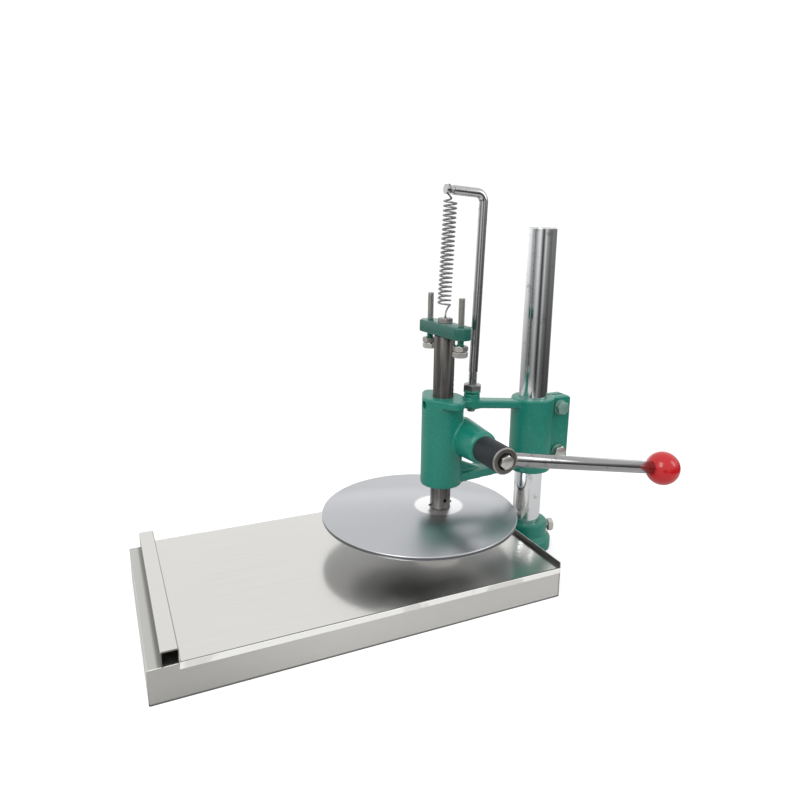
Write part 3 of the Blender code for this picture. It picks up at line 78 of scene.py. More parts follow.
# Column, ram and plate
COLUMN_AXIS = Vector((0.132, 0, 0))
COLUMN_RADIUS = 18 * MM
COLUMN_TOP = 0.422
COLUMN_ROUNDING = 1.5 * MM
RAM_RADIUS = 12.5 * MM
RAM_FOOT = 0.079
RAM_TOP = 0.2962
BORE_GAP = 0.3 * MM
RACK_PITCH = math.tau * MM
RACK_TEETH = 15
RACK_ROOT = 9.2 * MM
RACK_TIP = 12 * MM
RACK_ROOT_HALF = 1.95 * MM
RACK_TIP_HALF = 0.9 * MM
PIN_HEIGHT = 0.0907
PIN_HOLE_RADIUS = 2.2 * MM
DISC_RADIUS = 0.12
DISC_TOP = 0.0787
# Painted highlight on the plate, round the ram's foot
HIGHLIGHT_CENTRE = (0, 4 * MM, 0)
HIGHLIGHT_RADIUS = 28 * MM

# Castings: the skin is how far a casting keeps inside its solid
SKIN = 0.35 * MM

# Head; ribs are given by the heights of their underside and top, at the barrel and at the clamp
BARREL_RADIUS = 25.5 * MM
HEAD_BOTTOM = 0.111
HEAD_TOP = 0.222
EAR_CORNERS = [(22 * MM, 12 * MM), (11 * MM, 31 * MM), (4 * MM, 38.3 * MM)]
EAR_THICKNESS = 9.7 * MM
CLAMP_RADIUS = 27.5 * MM
CLAMP_TOP = 0.209
CLAMP_EAR_START = 0.150
CLAMP_EAR_END = 0.184
CLAMP_EAR_HALF = 13 * MM
CLAMP_EAR_BOTTOM = 0.1185
CLAMP_EAR_CORNER = 8 * MM
CLAMP_SLIT = 3 * MM
CLAMP_BOLT_X = 0.1665
CLAMP_BOLT_HEIGHTS = (0.1335, 0.194)
CLAMP_HOLE_RADIUS = 5.3 * MM
RIB_START = 16.5 * MM
RIB_END = 0.110
BRIDGE = ((0.207, 0.217), (0.1965, 0.2065))
BRIDGE_HALF = 10 * MM
WEB = ((0.1118, 0.122), (0.1177, 0.1283))
WEB_HALF = 13.8 * MM
GUSSET_BOTTOM = 0.1165
GUSSET_TOP = 0.141
GUSSET_END = 0.072
GUSSET_HALF = 4.9 * MM
PINION_AXIS = Vector((0.024, 0, 0.1705))
NEAR_BOSS_END = -0.060
NEAR_BOSS_PROFILE = [(23.7 * MM, 0), (19.8 * MM, 55.4 * MM), (16.4 * MM, 59.7 * MM)]
FAR_BOSS_END = 0.038
FAR_BOSS_RADIUS = 16 * MM
BUSH_RADIUS = 14.8 * MM
BUSH_BORE_END = 13.3 * MM
GUIDE_HEIGHT = 0.2135
GUIDE_HOLE_RADIUS = 4.8 * MM

# Foot and tray
FOOT_THICKNESS = 9 * MM
FOOT_TOE = -0.080
FOOT_HALF_WIDTH = 65 * MM
FOOT_CORNER = 12 * MM
FOOT_RIB_START = -0.034
FOOT_RIB_END = 0.092
FOOT_RIB_HALF = 4 * MM
PAD_X = -0.065
PAD_SPACING = 48 * MM
PAD_RADIUS = 9 * MM
PAD_TOP = 35.2 * MM
WALL_START = 0.0941
WALL_END = 0.1031
WALL_TOP = 31 * MM
WALL_HALF_WIDTH = 62 * MM
END_BOLT_HEIGHT = 21.5 * MM
END_BOLT_HOLE_RADIUS = 3.3 * MM
BOSS_RADIUS = 34 * MM
BOSS_TOP = 15 * MM
COLLAR_RADIUS = 28 * MM
COLLAR_START = 20 * MM
COLLAR_TOP = 39 * MM
COLUMN_SEAT = 4 * MM
SET_BOLT_BEARING = math.radians(-18)
SET_BOLT_WAY = Vector((math.cos(SET_BOLT_BEARING), math.sin(SET_BOLT_BEARING), 0))
SET_BOLT_HEIGHT = 27.5 * MM
SET_BOLT_HOLE_RADIUS = 4.8 * MM
SET_BOLT_FACE = 31 * MM
TRAY_STEEL = 1.2 * MM
TRAY_HEIGHT = 36.8 * MM
TRAY_LIP = 7 * MM
SHEET_STEEL = 1 * MM
SHEET_LIP = 7 * MM
RAIL_WIDTH = 16 * MM
RAIL_HEIGHT = 15 * MM
BEND = 1.1 * MM

# Fasteners: widths across flats, a little under the nominal sizes of 10, 15, 16 and 21 mm
SMALL_FLATS = 9.9 * MM
MIDDLE_FLATS = 14.9 * MM
LARGE_FLATS = 15.9 * MM
ROD_NUT_FLATS = 20.9 * MM

# Crosshead, its bolt and the stop studs
CROSSHEAD_TURN = Matrix.Rotation(math.radians(5), 3, "Z")
CROSSHEAD_BOTTOM = 0.2965
CROSSHEAD_TOP = 0.311
CROSSHEAD_HALF_WIDTH = 12.3 * MM
CROSSHEAD_HALF_LENGTH = 46.8 * MM
CROSSHEAD_CORNER = 8.6 * MM
STUD_SPACING = 33 * MM
STUD_RADIUS = 3.9 * MM
STUD_PITCH = 1.25 * MM
BOLT_FLATS = 15.7 * MM
BOLT_SEAT = 0.3113
BOLT_TOP = 0.3173
BOLT_END = 0.2835
BOLT_HOLE_END = 0.3082

# Lever
LEVER_Y = -0.0945
LEVER_LENGTH = 0.254
LEVER_DROOP = math.radians(11)
LEVER_WAY = Vector((math.cos(LEVER_DROOP), 0, -math.sin(LEVER_DROOP)))
LEVER_AXIS = PINION_AXIS + Y * LEVER_Y
KNOB_RADIUS = 21.8 * MM
LEVER_NECK = LEVER_LENGTH - KNOB_RADIUS + 1.5 * MM
HUB_START = -0.0603
HUB_END = -0.105
HUB_RADIUS = 15.8 * MM
HUB_RECESS_RADIUS = 9.8 * MM
HUB_RECESS = 3.2 * MM

# Rod that carries the spring; it leans a little, and its arm rises a little towards the ram's axis
ROD_RADIUS = 5.5 * MM
ROD_LEAN = math.radians(1.4)
ROD_WAY = Vector((math.sin(ROD_LEAN), 0, math.cos(ROD_LEAN)))
ROD_FOOT_X = 0.0402
ROD_FOOT = 0.199
ROD_SEAT = 0.2228
ROD_SEAT_PLACE = Vector((ROD_FOOT_X, 0, ROD_SEAT))
ROD_BOSS_RADIUS = 10 * MM
ROD_THREAD = 50 * MM
ROD_CORNER = 0.4595
ROD_BEND = 10 * MM
ROD_RISE = math.radians(4)
ROD_ARM_WAY = Vector((-math.cos(ROD_RISE), 0, math.sin(ROD_RISE)))
ROD_ARM = Vector((0, 0, 0.46271))
ROD_REACH = 4.7 * MM
ROD_NECK = 3.4 * MM

# Spring; a lead is a list of a bearing in degrees, a share of the coil's radius and a share of the drop
COIL_RADIUS = 7.1 * MM
COIL_WIRE = 1.1 * MM
COIL_TOP = 0.4505
COIL_BOTTOM = 0.3326
COIL_TURNS = 22.625
COIL_START = math.radians(109.5)
COIL_LEAN = Vector((0.001715, -0.000818, 0))
CURVE_SWELL = 1.016
LOOP_RADIUS = 5.1 * MM
LOOP_START = 230
LOOP_STEP = 10
LOOP_STEPS = 30
TOP_LEAD = [(34, 0.10, 0.22), (-2, 0.16, 0.46), (19, 0.48, 0.66), (62, 0.80, 0.82)]
FOOT_LEAD = [(0, 0.93, 0.15), (20, 0.70, 0.40), (35, 0.38, 0.70), (50, 0.08, 0.95)]
TAIL_TOP = 0.3215
TAIL_END = 0.3094


class Value:
    """A number that varies over a surface; sums and products of it add Math nodes."""

    def __init__(self, finish, socket):
        self.finish = finish
        self.socket = socket

    def maths(self, operation, first, second):
        return self.finish.node("Math", {"operation": operation}, {0: first, 1: second})

    def __add__(self, other):
        return self.maths("ADD", self, other)

    def __sub__(self, other):
        return self.maths("SUBTRACT", self, other)

    def __rsub__(self, other):
        return self.maths("SUBTRACT", other, self)

    def __mul__(self, other):
        return self.maths("MULTIPLY", self, other)

    __radd__ = __add__
    __rmul__ = __mul__


class Mixture:
    """The nodes of one finish or of the room's light."""

    def __init__(self, tree, coordinates):
        self.tree = tree
        self.place = self.node("TexCoord", {}, {}, output=coordinates)

    def node(self, kind, settings, inputs, output=0):
        """Any node: its type, its settings, and the values or links of its sockets."""
        made = self.tree.nodes.new("ShaderNode" + kind)
        for name, value in settings.items():
            if name == "stops":
                ramp = made.color_ramp.elements
                for place, shade in value[1:-1]:
                    ramp.new(place).color = (shade, shade, shade, 1)
                for stop, (place, shade) in ((ramp[0], value[0]), (ramp[len(ramp) - 1], value[-1])):
                    stop.position = place
                    stop.color = (shade, shade, shade, 1)
            else:
                setattr(made, name, value)
        for name, value in inputs.items():
            self.feed(made.inputs[name], value)
        return Value(self, made.outputs[output])

    def feed(self, socket, value):
        if isinstance(value, Value):
            self.tree.links.new(value.socket, socket)
        else:
            socket.default_value = value

    def stretched(self, scale, turn=(0, 0, 0)):
        """The place on the piece, with a scale for each axis and a turn."""
        return self.node("Mapping", {}, {"Vector": self.place, "Rotation": turn, "Scale": scale})

    def noise(self, scale, detail=2, roughness=0.5, where=None):
        return self.node("TexNoise", {}, {"Vector": where or self.place, "Scale": scale, "Detail": detail,
                                          "Roughness": roughness})

    def ramp(self, value, start, end, low=0, high=1):
        """Low up to the start, high from the end on, and an even curve between them."""
        return self.node("MapRange", {"interpolation_type": "SMOOTHSTEP"},
                         {"Value": value, "From Min": start, "From Max": end, "To Min": low, "To Max": high})

    def axis(self, letter):
        return self.node("SeparateXYZ", {}, {0: self.place}, output=letter)

    def distance(self, centre, flatten):
        """How far a point of the piece is from a centre; flatten takes an axis out with a 0."""
        moved = self.node("VectorMath", {"operation": "SUBTRACT"}, {0: self.place, 1: centre})
        flat = self.node("VectorMath", {"operation": "MULTIPLY"}, {0: moved, 1: flatten})
        return self.node("VectorMath", {"operation": "LENGTH"}, {0: flat}, output="Value")

    def mix(self, factor, first, second):
        """A colour between two colours."""
        colours = [value if isinstance(value, Value) else (*value, 1) for value in (first, second)]
        return self.node("Mix", {"data_type": "RGBA"}, {0: factor, 6: colours[0], 7: colours[1]}, output=2)


class Finish(Mixture):
    """A surface finish that is being mixed."""

    def __init__(self, name, **constants):
        self.material = bpy.data.materials.new(name)
        self.material.use_nodes = True
        super().__init__(self.material.node_tree, "Object")
        self.shader = self.tree.nodes["Principled BSDF"]
        for socket, value in constants.items():
            self.shader.inputs[socket.replace("_", " ")].default_value = value

    def colour(self, value):
        self.feed(self.shader.inputs["Base Color"], value)

    def rough(self, value):
        self.feed(self.shader.inputs["Roughness"], value)

    def metal(self, value):
        self.feed(self.shader.inputs["Metallic"], value)

    def bump(self, *heights):
        """Relief from one or more heights in metres."""
        normal = None
        for height in heights:
            inputs = {"Height": height, "Strength": 1, "Distance": 1}
            if normal:
                inputs["Normal"] = normal
            normal = self.node("Bump", {}, inputs)
        self.feed(self.shader.inputs["Normal"], normal)


def casting_paint(name, depth=1):
    """Green hammered paint over rough cast iron; a lower depth darkens the paint as painted shade."""
    paint = Finish(name, Coat_Weight=0.12, Coat_Roughness=0.08)
    broad = paint.noise(14, detail=3)
    grain = paint.noise(420, detail=3, roughness=0.6)
    dimples = paint.noise(170, detail=1)
    deep = paint.mix(broad, (0.003, 0.162, 0.118), (0.006, 0.225, 0.164))
    lit = paint.mix(paint.ramp(grain, 0.52, 0.78), deep, (0.017, 0.285, 0.212))
    paint.colour(paint.mix(depth, (0.012, 0.014, 0.014), lit))
    paint.rough(0.26 + 0.14 * broad + 0.10 * grain)
    paint.bump(dimples * 0.00012, grain * 0.00004)
    return paint.material


def chrome(name, tint, roughness, end=1):
    """Plated round bar: almost a mirror, with faint lines, a dull spot here and there and a dull end face."""
    plate = Finish(name, Metallic=1)
    lines = plate.noise(60, detail=3, where=plate.stretched((18, 18, 1)))
    spots = plate.noise(90, detail=4, roughness=0.6)
    dull = plate.ramp(spots, 0.55, 0.8) + plate.ramp(plate.axis("Z"), end - 0.6 * MM, end - 0.2 * MM)
    plate.colour(plate.mix(dull, tint, [part / 2 for part in tint]))
    plate.rough(roughness + 0.06 * lines + 0.12 * dull)
    plate.bump(lines * 0.00001)
    return plate.material


def brushed_sheet(name, tint, shade, roughness, fineness):
    """Rolled stainless sheet with brush marks along its length; gives the finish and its colour."""
    grain = Vector((6, fineness, fineness))
    steel = Finish(name, Metallic=1)
    marks = steel.noise(1, detail=4, roughness=0.65, where=steel.stretched(grain))
    fine = steel.noise(1, where=steel.stretched(grain * 4))
    clouds = steel.noise(5, detail=3)
    waves = steel.noise(7, detail=1)
    steel.rough(roughness + 0.10 * marks + 0.10 * clouds)
    steel.bump(waves * 0.0012, marks * 0.00002 + fine * 0.00001)
    return steel, steel.mix(0.55 * marks + 0.25 * clouds, tint, shade)


def tray_finish():
    """The tray's steel: painted contact shadow along its lower edge, painted shadow of the rail on the strip
    beside it, a near wall darker towards the loading end, painted shade on the stop.
    """
    steel, bright = brushed_sheet("tray_stainless", (0.76, 0.75, 0.72), (0.62, 0.61, 0.585), 0.24, 700)
    low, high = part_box("base_tray")
    along = steel.axis("X")
    height = steel.axis("Z")
    near_wall = steel.ramp(steel.axis("Y"), low.y + 1.2 * MM, low.y + 0.8 * MM)
    loading_end = steel.ramp(along, low.x + 200 * MM, low.x)
    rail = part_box("slide_sheet")[0].x
    upper_side = steel.ramp(height, TRAY_HEIGHT - 0.5 * MM, TRAY_HEIGHT - 0.2 * MM)
    # The top strip beside the rail is darkened as painted shadow of the rail, darkest next to it.
    strip = steel.ramp(along, rail + 0.5 * MM, rail) * upper_side
    rail_shadow = steel.ramp(along, rail - 5 * MM, rail - 1.2 * MM)
    face = high.x - TRAY_STEEL
    # Painted shade on the stop's inner face.
    stop = steel.ramp(along, face - 0.6 * MM, face - 0.2 * MM)
    stop = stop * steel.ramp(along, face + 0.3 * MM, face + 0.1 * MM)
    # Painted contact shadow along the tray's lower edge.
    contact_shadow = steel.ramp(height, 2.4 * MM, 1 * MM)
    for mask, shade in ((loading_end * near_wall, (0.50, 0.495, 0.47)),
                        (strip, steel.mix(rail_shadow, (0.55, 0.55, 0.53), (0.24, 0.24, 0.22))),
                        (stop, (0.16, 0.16, 0.155)), (contact_shadow, (0.16, 0.16, 0.155))):
        bright = steel.mix(mask, bright, shade)
    steel.colour(bright)
    return steel.material


def sheet_finish():
    """The sliding sheet's steel: a painted reflection on its near lip, painted shade in its folds and on the
    rail's outer face.
    """
    steel, bright = brushed_sheet("sheet_stainless", (0.80, 0.79, 0.76), (0.66, 0.655, 0.63), 0.09, 600)
    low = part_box("slide_sheet")[0]
    aside = steel.axis("Y")
    along = steel.axis("X")
    edge = steel.ramp(aside, low.y + 0.3 * MM, low.y + 0.1 * MM)
    # Dark bands along the near fold and the rail's inner fold are painted shade.
    side_fold_shade = steel.ramp(aside, low.y + 1.6 * MM, low.y + 1.2 * MM) * (1 - edge)
    fold = low.x + RAIL_WIDTH
    rail_fold_shade = (steel.ramp(along, fold - 1.2 * MM, fold - 0.9 * MM)
                 * steel.ramp(along, fold + 1.1 * MM, fold + 0.8 * MM))
    # The rail's outer face is darkened as painted shade.
    outer = steel.ramp(along, low.x + 0.4 * MM, low.x + 0.1 * MM)
    # The near lip is painted pale in broken patches as painted reflection, and made less metallic so that it
    # shows white.
    lip_reflection = edge * (1 - 0.5 * steel.ramp(steel.noise(24), 0.52, 0.62))
    for mask, shade in ((outer, (0.27, 0.267, 0.255)), (side_fold_shade + rail_fold_shade, (0.20, 0.20, 0.195)),
                        (lip_reflection, (0.93, 0.925, 0.90))):
        bright = steel.mix(mask, bright, shade)
    steel.colour(bright)
    steel.metal(1 - 0.8 * lip_reflection)
    return steel.material


def turned_plate():
    """Faced steel disc: rings round its centre, a painted highlight round the ram's foot and painted shade on
    its rim.
    """
    steel = Finish("turned_steel_plate", Metallic=1)
    low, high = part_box("press_disc")
    across = steel.distance(((low.x + high.x) / 2, 0, 0), (1, 1, 0))
    ring_place = steel.node("CombineXYZ", {}, {0: across * 900})
    rings = steel.noise(1, detail=4, roughness=0.7, where=ring_place)
    clouds = steel.noise(9, detail=3)
    face = steel.mix(0.5 * rings + 0.3 * clouds, (0.60, 0.605, 0.63), (0.40, 0.41, 0.43))
    side = steel.ramp(across, DISC_RADIUS - 0.2 * MM, DISC_RADIUS - 0.1 * MM)
    # Painted shade on the plate's rim.
    rim = side * steel.ramp(steel.axis("Z"), DISC_TOP - 1.1 * MM, DISC_TOP - 1.5 * MM)
    # Painted highlight round the ram's foot.
    foot_highlight = steel.ramp(steel.distance(HIGHLIGHT_CENTRE, (1, 1, 0)), HIGHLIGHT_RADIUS + 4.5 * MM, HIGHLIGHT_RADIUS)
    steel.colour(steel.mix(foot_highlight, steel.mix(rim, face, (0.15, 0.155, 0.16)), (0.95, 0.95, 0.96)))
    steel.rough(0.26 + 0.08 * rings + 0.06 * clouds)
    steel.bump(rings * 0.00001)
    return steel.material


def oiled_steel(name, tint, shade):
    """Dark drawn bar with an oil film: long streaks down the bar."""
    steel = Finish(name, Metallic=1)
    streaks = steel.noise(1, detail=4, roughness=0.6, where=steel.stretched((260, 260, 14)))
    blots = steel.noise(70, detail=3)
    steel.colour(steel.mix(steel.ramp(streaks, 0.3, 0.7), tint, shade))
    steel.rough(0.24 + 0.22 * streaks + 0.12 * blots)
    steel.bump(streaks * 0.00003)
    return steel.material


def zinc_plate(name, tint, shade, paint_line=None, cover=1):
    """Zinc on a fastener; with a line given, green overspray up to that height, as thick as the cover."""
    zinc = Finish(name)
    blots = zinc.noise(260, detail=3, roughness=0.6)
    scratches = zinc.noise(1, detail=3, where=zinc.stretched((900, 300, 900), turn=(0.4, 0.7, 0.2)))
    bare = zinc.mix(blots, tint, shade)
    rough = 0.22 + 0.22 * blots
    if paint_line is None:
        zinc.shader.inputs["Metallic"].default_value = 1
        zinc.colour(bare)
        zinc.rough(rough)
    else:
        height = zinc.axis("Z") + 0.006 * blots
        spray = zinc.ramp(height, paint_line + 0.004, paint_line + 0.0015) * cover
        zinc.metal(1 - spray)
        zinc.colour(zinc.mix(spray, bare, (0.020, 0.230, 0.165)))
        zinc.rough(rough + 0.10 * spray)
    zinc.bump(scratches * 0.00002 + blots * 0.00004)
    return zinc.material


def blacked_steel():
    """Oiled black oxide on the lever's sleeve; its turned end is bare grey steel with a brighter rim."""
    black = Finish("black_oxide_sleeve")
    blots = black.noise(150, detail=4, roughness=0.6)
    along = black.axis("Y") + 0.6 * MM * blots
    bare = black.ramp(along, HUB_END + 2.4 * MM, HUB_END + 1.4 * MM)
    outwards = black.distance((PINION_AXIS.x, 0, PINION_AXIS.z), (1, 0, 1))
    rim = black.ramp(outwards, HUB_RADIUS - 1.8 * MM, HUB_RADIUS - 1.2 * MM) * bare
    oxide = black.mix(blots, (0.009, 0.012, 0.015), (0.030, 0.036, 0.042))
    black.colour(black.mix(rim, black.mix(bare, oxide, (0.15, 0.14, 0.13)), (0.36, 0.35, 0.335)))
    black.metal(0.35 + 0.65 * bare)
    black.rough(0.38 + 0.18 * blots - 0.06 * bare)
    black.bump(blots * 0.00004)
    return black.material


def red_resin():
    """Moulded red knob with a polished skin."""
    red = Finish("red_resin_knob", Coat_Weight=0.2, Coat_Roughness=0.04, Specular_IOR_Level=0.5)
    clouds = red.noise(60, detail=3)
    red.colour(red.mix(clouds, (0.47, 0.002, 0.006), (0.60, 0.006, 0.012)))
    red.rough(0.14 + 0.10 * clouds)
    red.bump(red.noise(190) * 0.00003)
    return red.material


def bearing_bronze():
    bronze = Finish("bearing_bronze", Metallic=1)
    blots = bronze.noise(300, detail=3)
    bronze.colour(bronze.mix(blots, (0.52, 0.33, 0.13), (0.36, 0.22, 0.09)))
    bronze.rough(0.28 + 0.2 * blots)
    bronze.bump(blots * 0.00002)
    return bronze.material


def meshed(name, part):
    """A mesh from a shape, which is used up."""
    mesh = bpy.data.meshes.new(name)
    part.to_mesh(mesh)
    part.free()
    return mesh


def placed(name, data):
    """A new object in the scene."""
    made = bpy.data.objects.new(name, data)
    bpy.context.scene.collection.objects.link(made)
    return made


def taken(holder):
    """The shape of an object as its curve or modifier makes it; the object is removed."""
    mesh = bpy.data.meshes.new_from_object(holder.evaluated_get(bpy.context.evaluated_depsgraph_get()))
    bpy.data.objects.remove(holder, do_unlink=True)
    part = bmesh.new()
    part.from_mesh(mesh)
    return part


def facing(start, direction):
    """A matrix that takes +Z to the direction and the origin to the start."""
    turn = Vector(direction).normalized().to_track_quat("Z", "Y").to_matrix().to_4x4()
    return Matrix.Translation(Vector(start)) @ turn


def softened(part, width, segments=2, angle=30):
    """Round the edges that are sharper than the angle."""
    sharp = [edge for edge in part.edges
             if edge.is_manifold and edge.calc_face_angle() > math.radians(angle)]
    if width and sharp:
        bmesh.ops.bevel(part, geom=sharp, offset=width, offset_type="OFFSET", segments=segments, profile=0.5,
                        affect="EDGES", material=-1, clamp_overlap=True)
    return part


def lathe(profile, start=(0, 0, 0), direction=(0, 0, 1), steps=64, ring=False, edge=0):
    """A solid of revolution: the profile is (radius, height); a ring is closed on itself."""
    part = bmesh.new()
    chain = [part.verts.new((radius, 0, height)) for radius, height in profile]
    if ring:
        chain.append(chain[0])
    edges = [part.edges.new(pair) for pair in zip(chain, chain[1:])]
    bmesh.ops.spin(part, geom=part.verts[:] + edges, cent=(0, 0, 0), axis=(0, 0, 1), dvec=(0, 0, 0),
                   angle=math.tau, steps=steps, use_merge=True, use_duplicate=False)
    bmesh.ops.remove_doubles(part, verts=part.verts, dist=MM / 1000)
    bmesh.ops.recalc_face_normals(part, faces=part.faces)
    softened(part, edge)
    bmesh.ops.transform(part, matrix=facing(start, direction), verts=part.verts)
    return part


def bar(start, end, radius, steps=64, edge=0):
    """A round bar between two points."""
    start = Vector(start)
    reach = Vector(end) - start
    profile = [(0, 0), (radius, 0), (radius, reach.length), (0, reach.length)]
    return lathe(profile, start, reach, steps, edge=edge)


def block(low, high, edge=0):
    part = bmesh.new()
    low = Vector(low)
    size = Vector(high) - low
    place = Matrix.Translation(low + size / 2) @ Matrix.Diagonal((*size, 1))
    bmesh.ops.create_cube(part, size=1, matrix=place)
    return softened(part, edge)


def prism(outline, start, end, edge=0, segments=2):
    """A closed outline of points, drawn out from the start to the end."""
    part = bmesh.new()
    start = Vector(start)
    face = part.faces.new([part.verts.new(Vector(point) + start) for point in outline])
    drawn = bmesh.ops.extrude_face_region(part, geom=[face])["geom"]
    moved = [item for item in drawn if isinstance(item, bmesh.types.BMVert)]
    bmesh.ops.translate(part, vec=Vector(end) - start, verts=moved)
    bmesh.ops.recalc_face_normals(part, faces=part.faces)
    return softened(part, edge, segments)


def gathered(*parts):
    """Several closed shapes in one mesh."""
    whole = bmesh.new()
    for part in parts:
        carrier = meshed("carrier", part)
        whole.from_mesh(carrier)
        bpy.data.meshes.remove(carrier)
    return whole


def hexagonal(flats, height, start, direction, bore=0, turn=0, seated=False):
    """A nut or a bolt's head: a turned blank, its rim drawn in to six flats; a seated one is flat below."""
    flat = flats / 2
    corner = flat / math.cos(math.pi / 6)
    shoulder = 0.94 * flat
    drop = (corner - shoulder) * math.tan(math.pi / 6)
    rings = 4
    chamfer = [(shoulder + (corner - shoulder) * step / rings, drop * step / rings)
               for step in range(rings + 1)]
    bottom = [(corner, 0)] if seated else chamfer
    top = [(radius, height - depth) for radius, depth in reversed(chamfer)]
    if bore:
        lead_in = 0.6 * MM
        inner = [(bore + lead_in, height), (bore, height - lead_in), (bore, lead_in), (bore + lead_in, 0)]
        part = lathe(bottom + top + inner, steps=72, ring=True)
    else:
        part = lathe([(0, 0)] + bottom + top + [(0, height)], steps=72)
    for vert in part.verts:
        angle = math.atan2(vert.co.y, vert.co.x)
        off = (angle + math.pi / 6) % (math.pi / 3) - math.pi / 6
        drawn_in(vert, flat / math.cos(math.pi / 6 - abs(off)))
    bmesh.ops.rotate(part, cent=(0, 0, 0), matrix=Matrix.Rotation(turn, 3, "Z"), verts=part.verts)
    bmesh.ops.transform(part, matrix=facing(start, direction), verts=part.verts)
    return part


def drawn_in(vert, limit):
    """Bring a point of a turned shape in to a distance from the shape's axis."""
    away = math.hypot(vert.co.x, vert.co.y)
    if away > limit:
        vert.co.x *= limit / away
        vert.co.y *= limit / away


def thread(start, direction, radius, length, pitch, steps=20):
    """A screw thread: a core with a ridge wound round it."""
    depth = 0.55 * pitch
    inner = radius - depth
    core = lathe([(0, 0), (inner, 0), (radius - depth / 2, depth / 2),
                  (radius - depth / 2, length - depth / 2), (inner, length), (0, length)], steps=32)
    for vert in core.verts:
        drawn_in(vert, inner)
    ridge = bmesh.new()
    turns = (length - pitch) / pitch
    section = [(inner - depth / 4, -pitch / 2), (inner - depth / 4, pitch / 2), (radius, pitch / 10),
               (radius, -pitch / 10)]
    verts = [ridge.verts.new((out, 0, height + pitch / 2)) for out, height in section]
    edges = [ridge.edges.new((verts[index - 1], verts[index])) for index in range(len(verts))]
    count = max(1, round(turns * steps))
    bmesh.ops.spin(ridge, geom=verts + edges, cent=(0, 0, 0), axis=(0, 0, 1),
                   dvec=(0, 0, turns * pitch / count), angle=turns * math.tau, steps=count,
                   use_merge=False, use_duplicate=False)
    bmesh.ops.holes_fill(ridge, edges=[edge for edge in ridge.edges if edge.is_boundary], sides=8)
    bmesh.ops.recalc_face_normals(ridge, faces=ridge.faces)
    whole = gathered(core, ridge)
    bmesh.ops.transform(whole, matrix=facing(start, direction), verts=whole.verts)
    return whole


def wire(points, radius, sides, smooth=False):
    """A round bar bent along points."""
    curve = bpy.data.curves.new("wire", "CURVE")
    curve.dimensions = "3D"
    curve.bevel_depth = radius
    curve.bevel_resolution = sides // 4
    curve.use_fill_caps = True
    spline = curve.splines.new("NURBS" if smooth else "POLY")
    spline.points.add(len(points) - 1)
    for target, point in zip(spline.points, points):
        target.co = (*point, 1)
    if smooth:
        spline.use_endpoint_u = True
        spline.order_u = 4
        spline.resolution_u = 4
    part = taken(placed("wire", curve))
    bmesh.ops.remove_doubles(part, verts=part.verts, dist=MM / 1000)
    bmesh.ops.recalc_face_normals(part, faces=part.faces)
    return part


def applied(part, kind, **settings):
    """The shape after one modifier."""
    holder = placed("blank", meshed("blank", part))
    change = holder.modifiers.new("change", kind)
    for name, value in settings.items():
        setattr(change, name, value)
    return taken(holder)


def cut(part, *tools):
    """Take closed shapes out of a solid; the tools of one call keep clear of each other."""
    cutter = placed("cutter", meshed("cutter", gathered(*tools)))
    result = applied(part, "BOOLEAN", operation="DIFFERENCE", solver="EXACT", object=cutter)
    bpy.data.objects.remove(cutter, do_unlink=True)
    return result


def cast(parts, grid, rounds):
    """Melt overlapping shapes into one skin and soften its edges, as a sand casting comes out."""
    skin = applied(gathered(*parts), "REMESH", mode="VOXEL", voxel_size=grid, use_smooth_shade=True)
    for _ in range(rounds):
        bmesh.ops.smooth_vert(skin, verts=skin.verts, factor=0.5, use_axis_x=True, use_axis_y=True,
                              use_axis_z=True)
    return skin


def piece(name, part, finish, body, nodes, sharp=40):
    """Put a finished shape in the scene, on its body if it has only one, in place of its solids."""
    mesh = meshed(name, part)
    mesh.materials.append(finish)
    mesh.shade_smooth()
    mesh.set_sharp_from_angle(angle=math.radians(sharp))
    made = placed(name, mesh)
    if body:
        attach(made, body)
    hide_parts(*nodes)
    return made


def rib(heights, half_width):
    """A rib from the barrel to the clamp."""
    (near_low, near_high), (far_low, far_high) = heights
    outline = [(RIB_START, 0, near_high), (RIB_START, 0, near_low),
               (RIB_END, 0, far_low), (RIB_END, 0, far_high)]
    return prism(outline, (0, -half_width, 0), (0, half_width, 0))


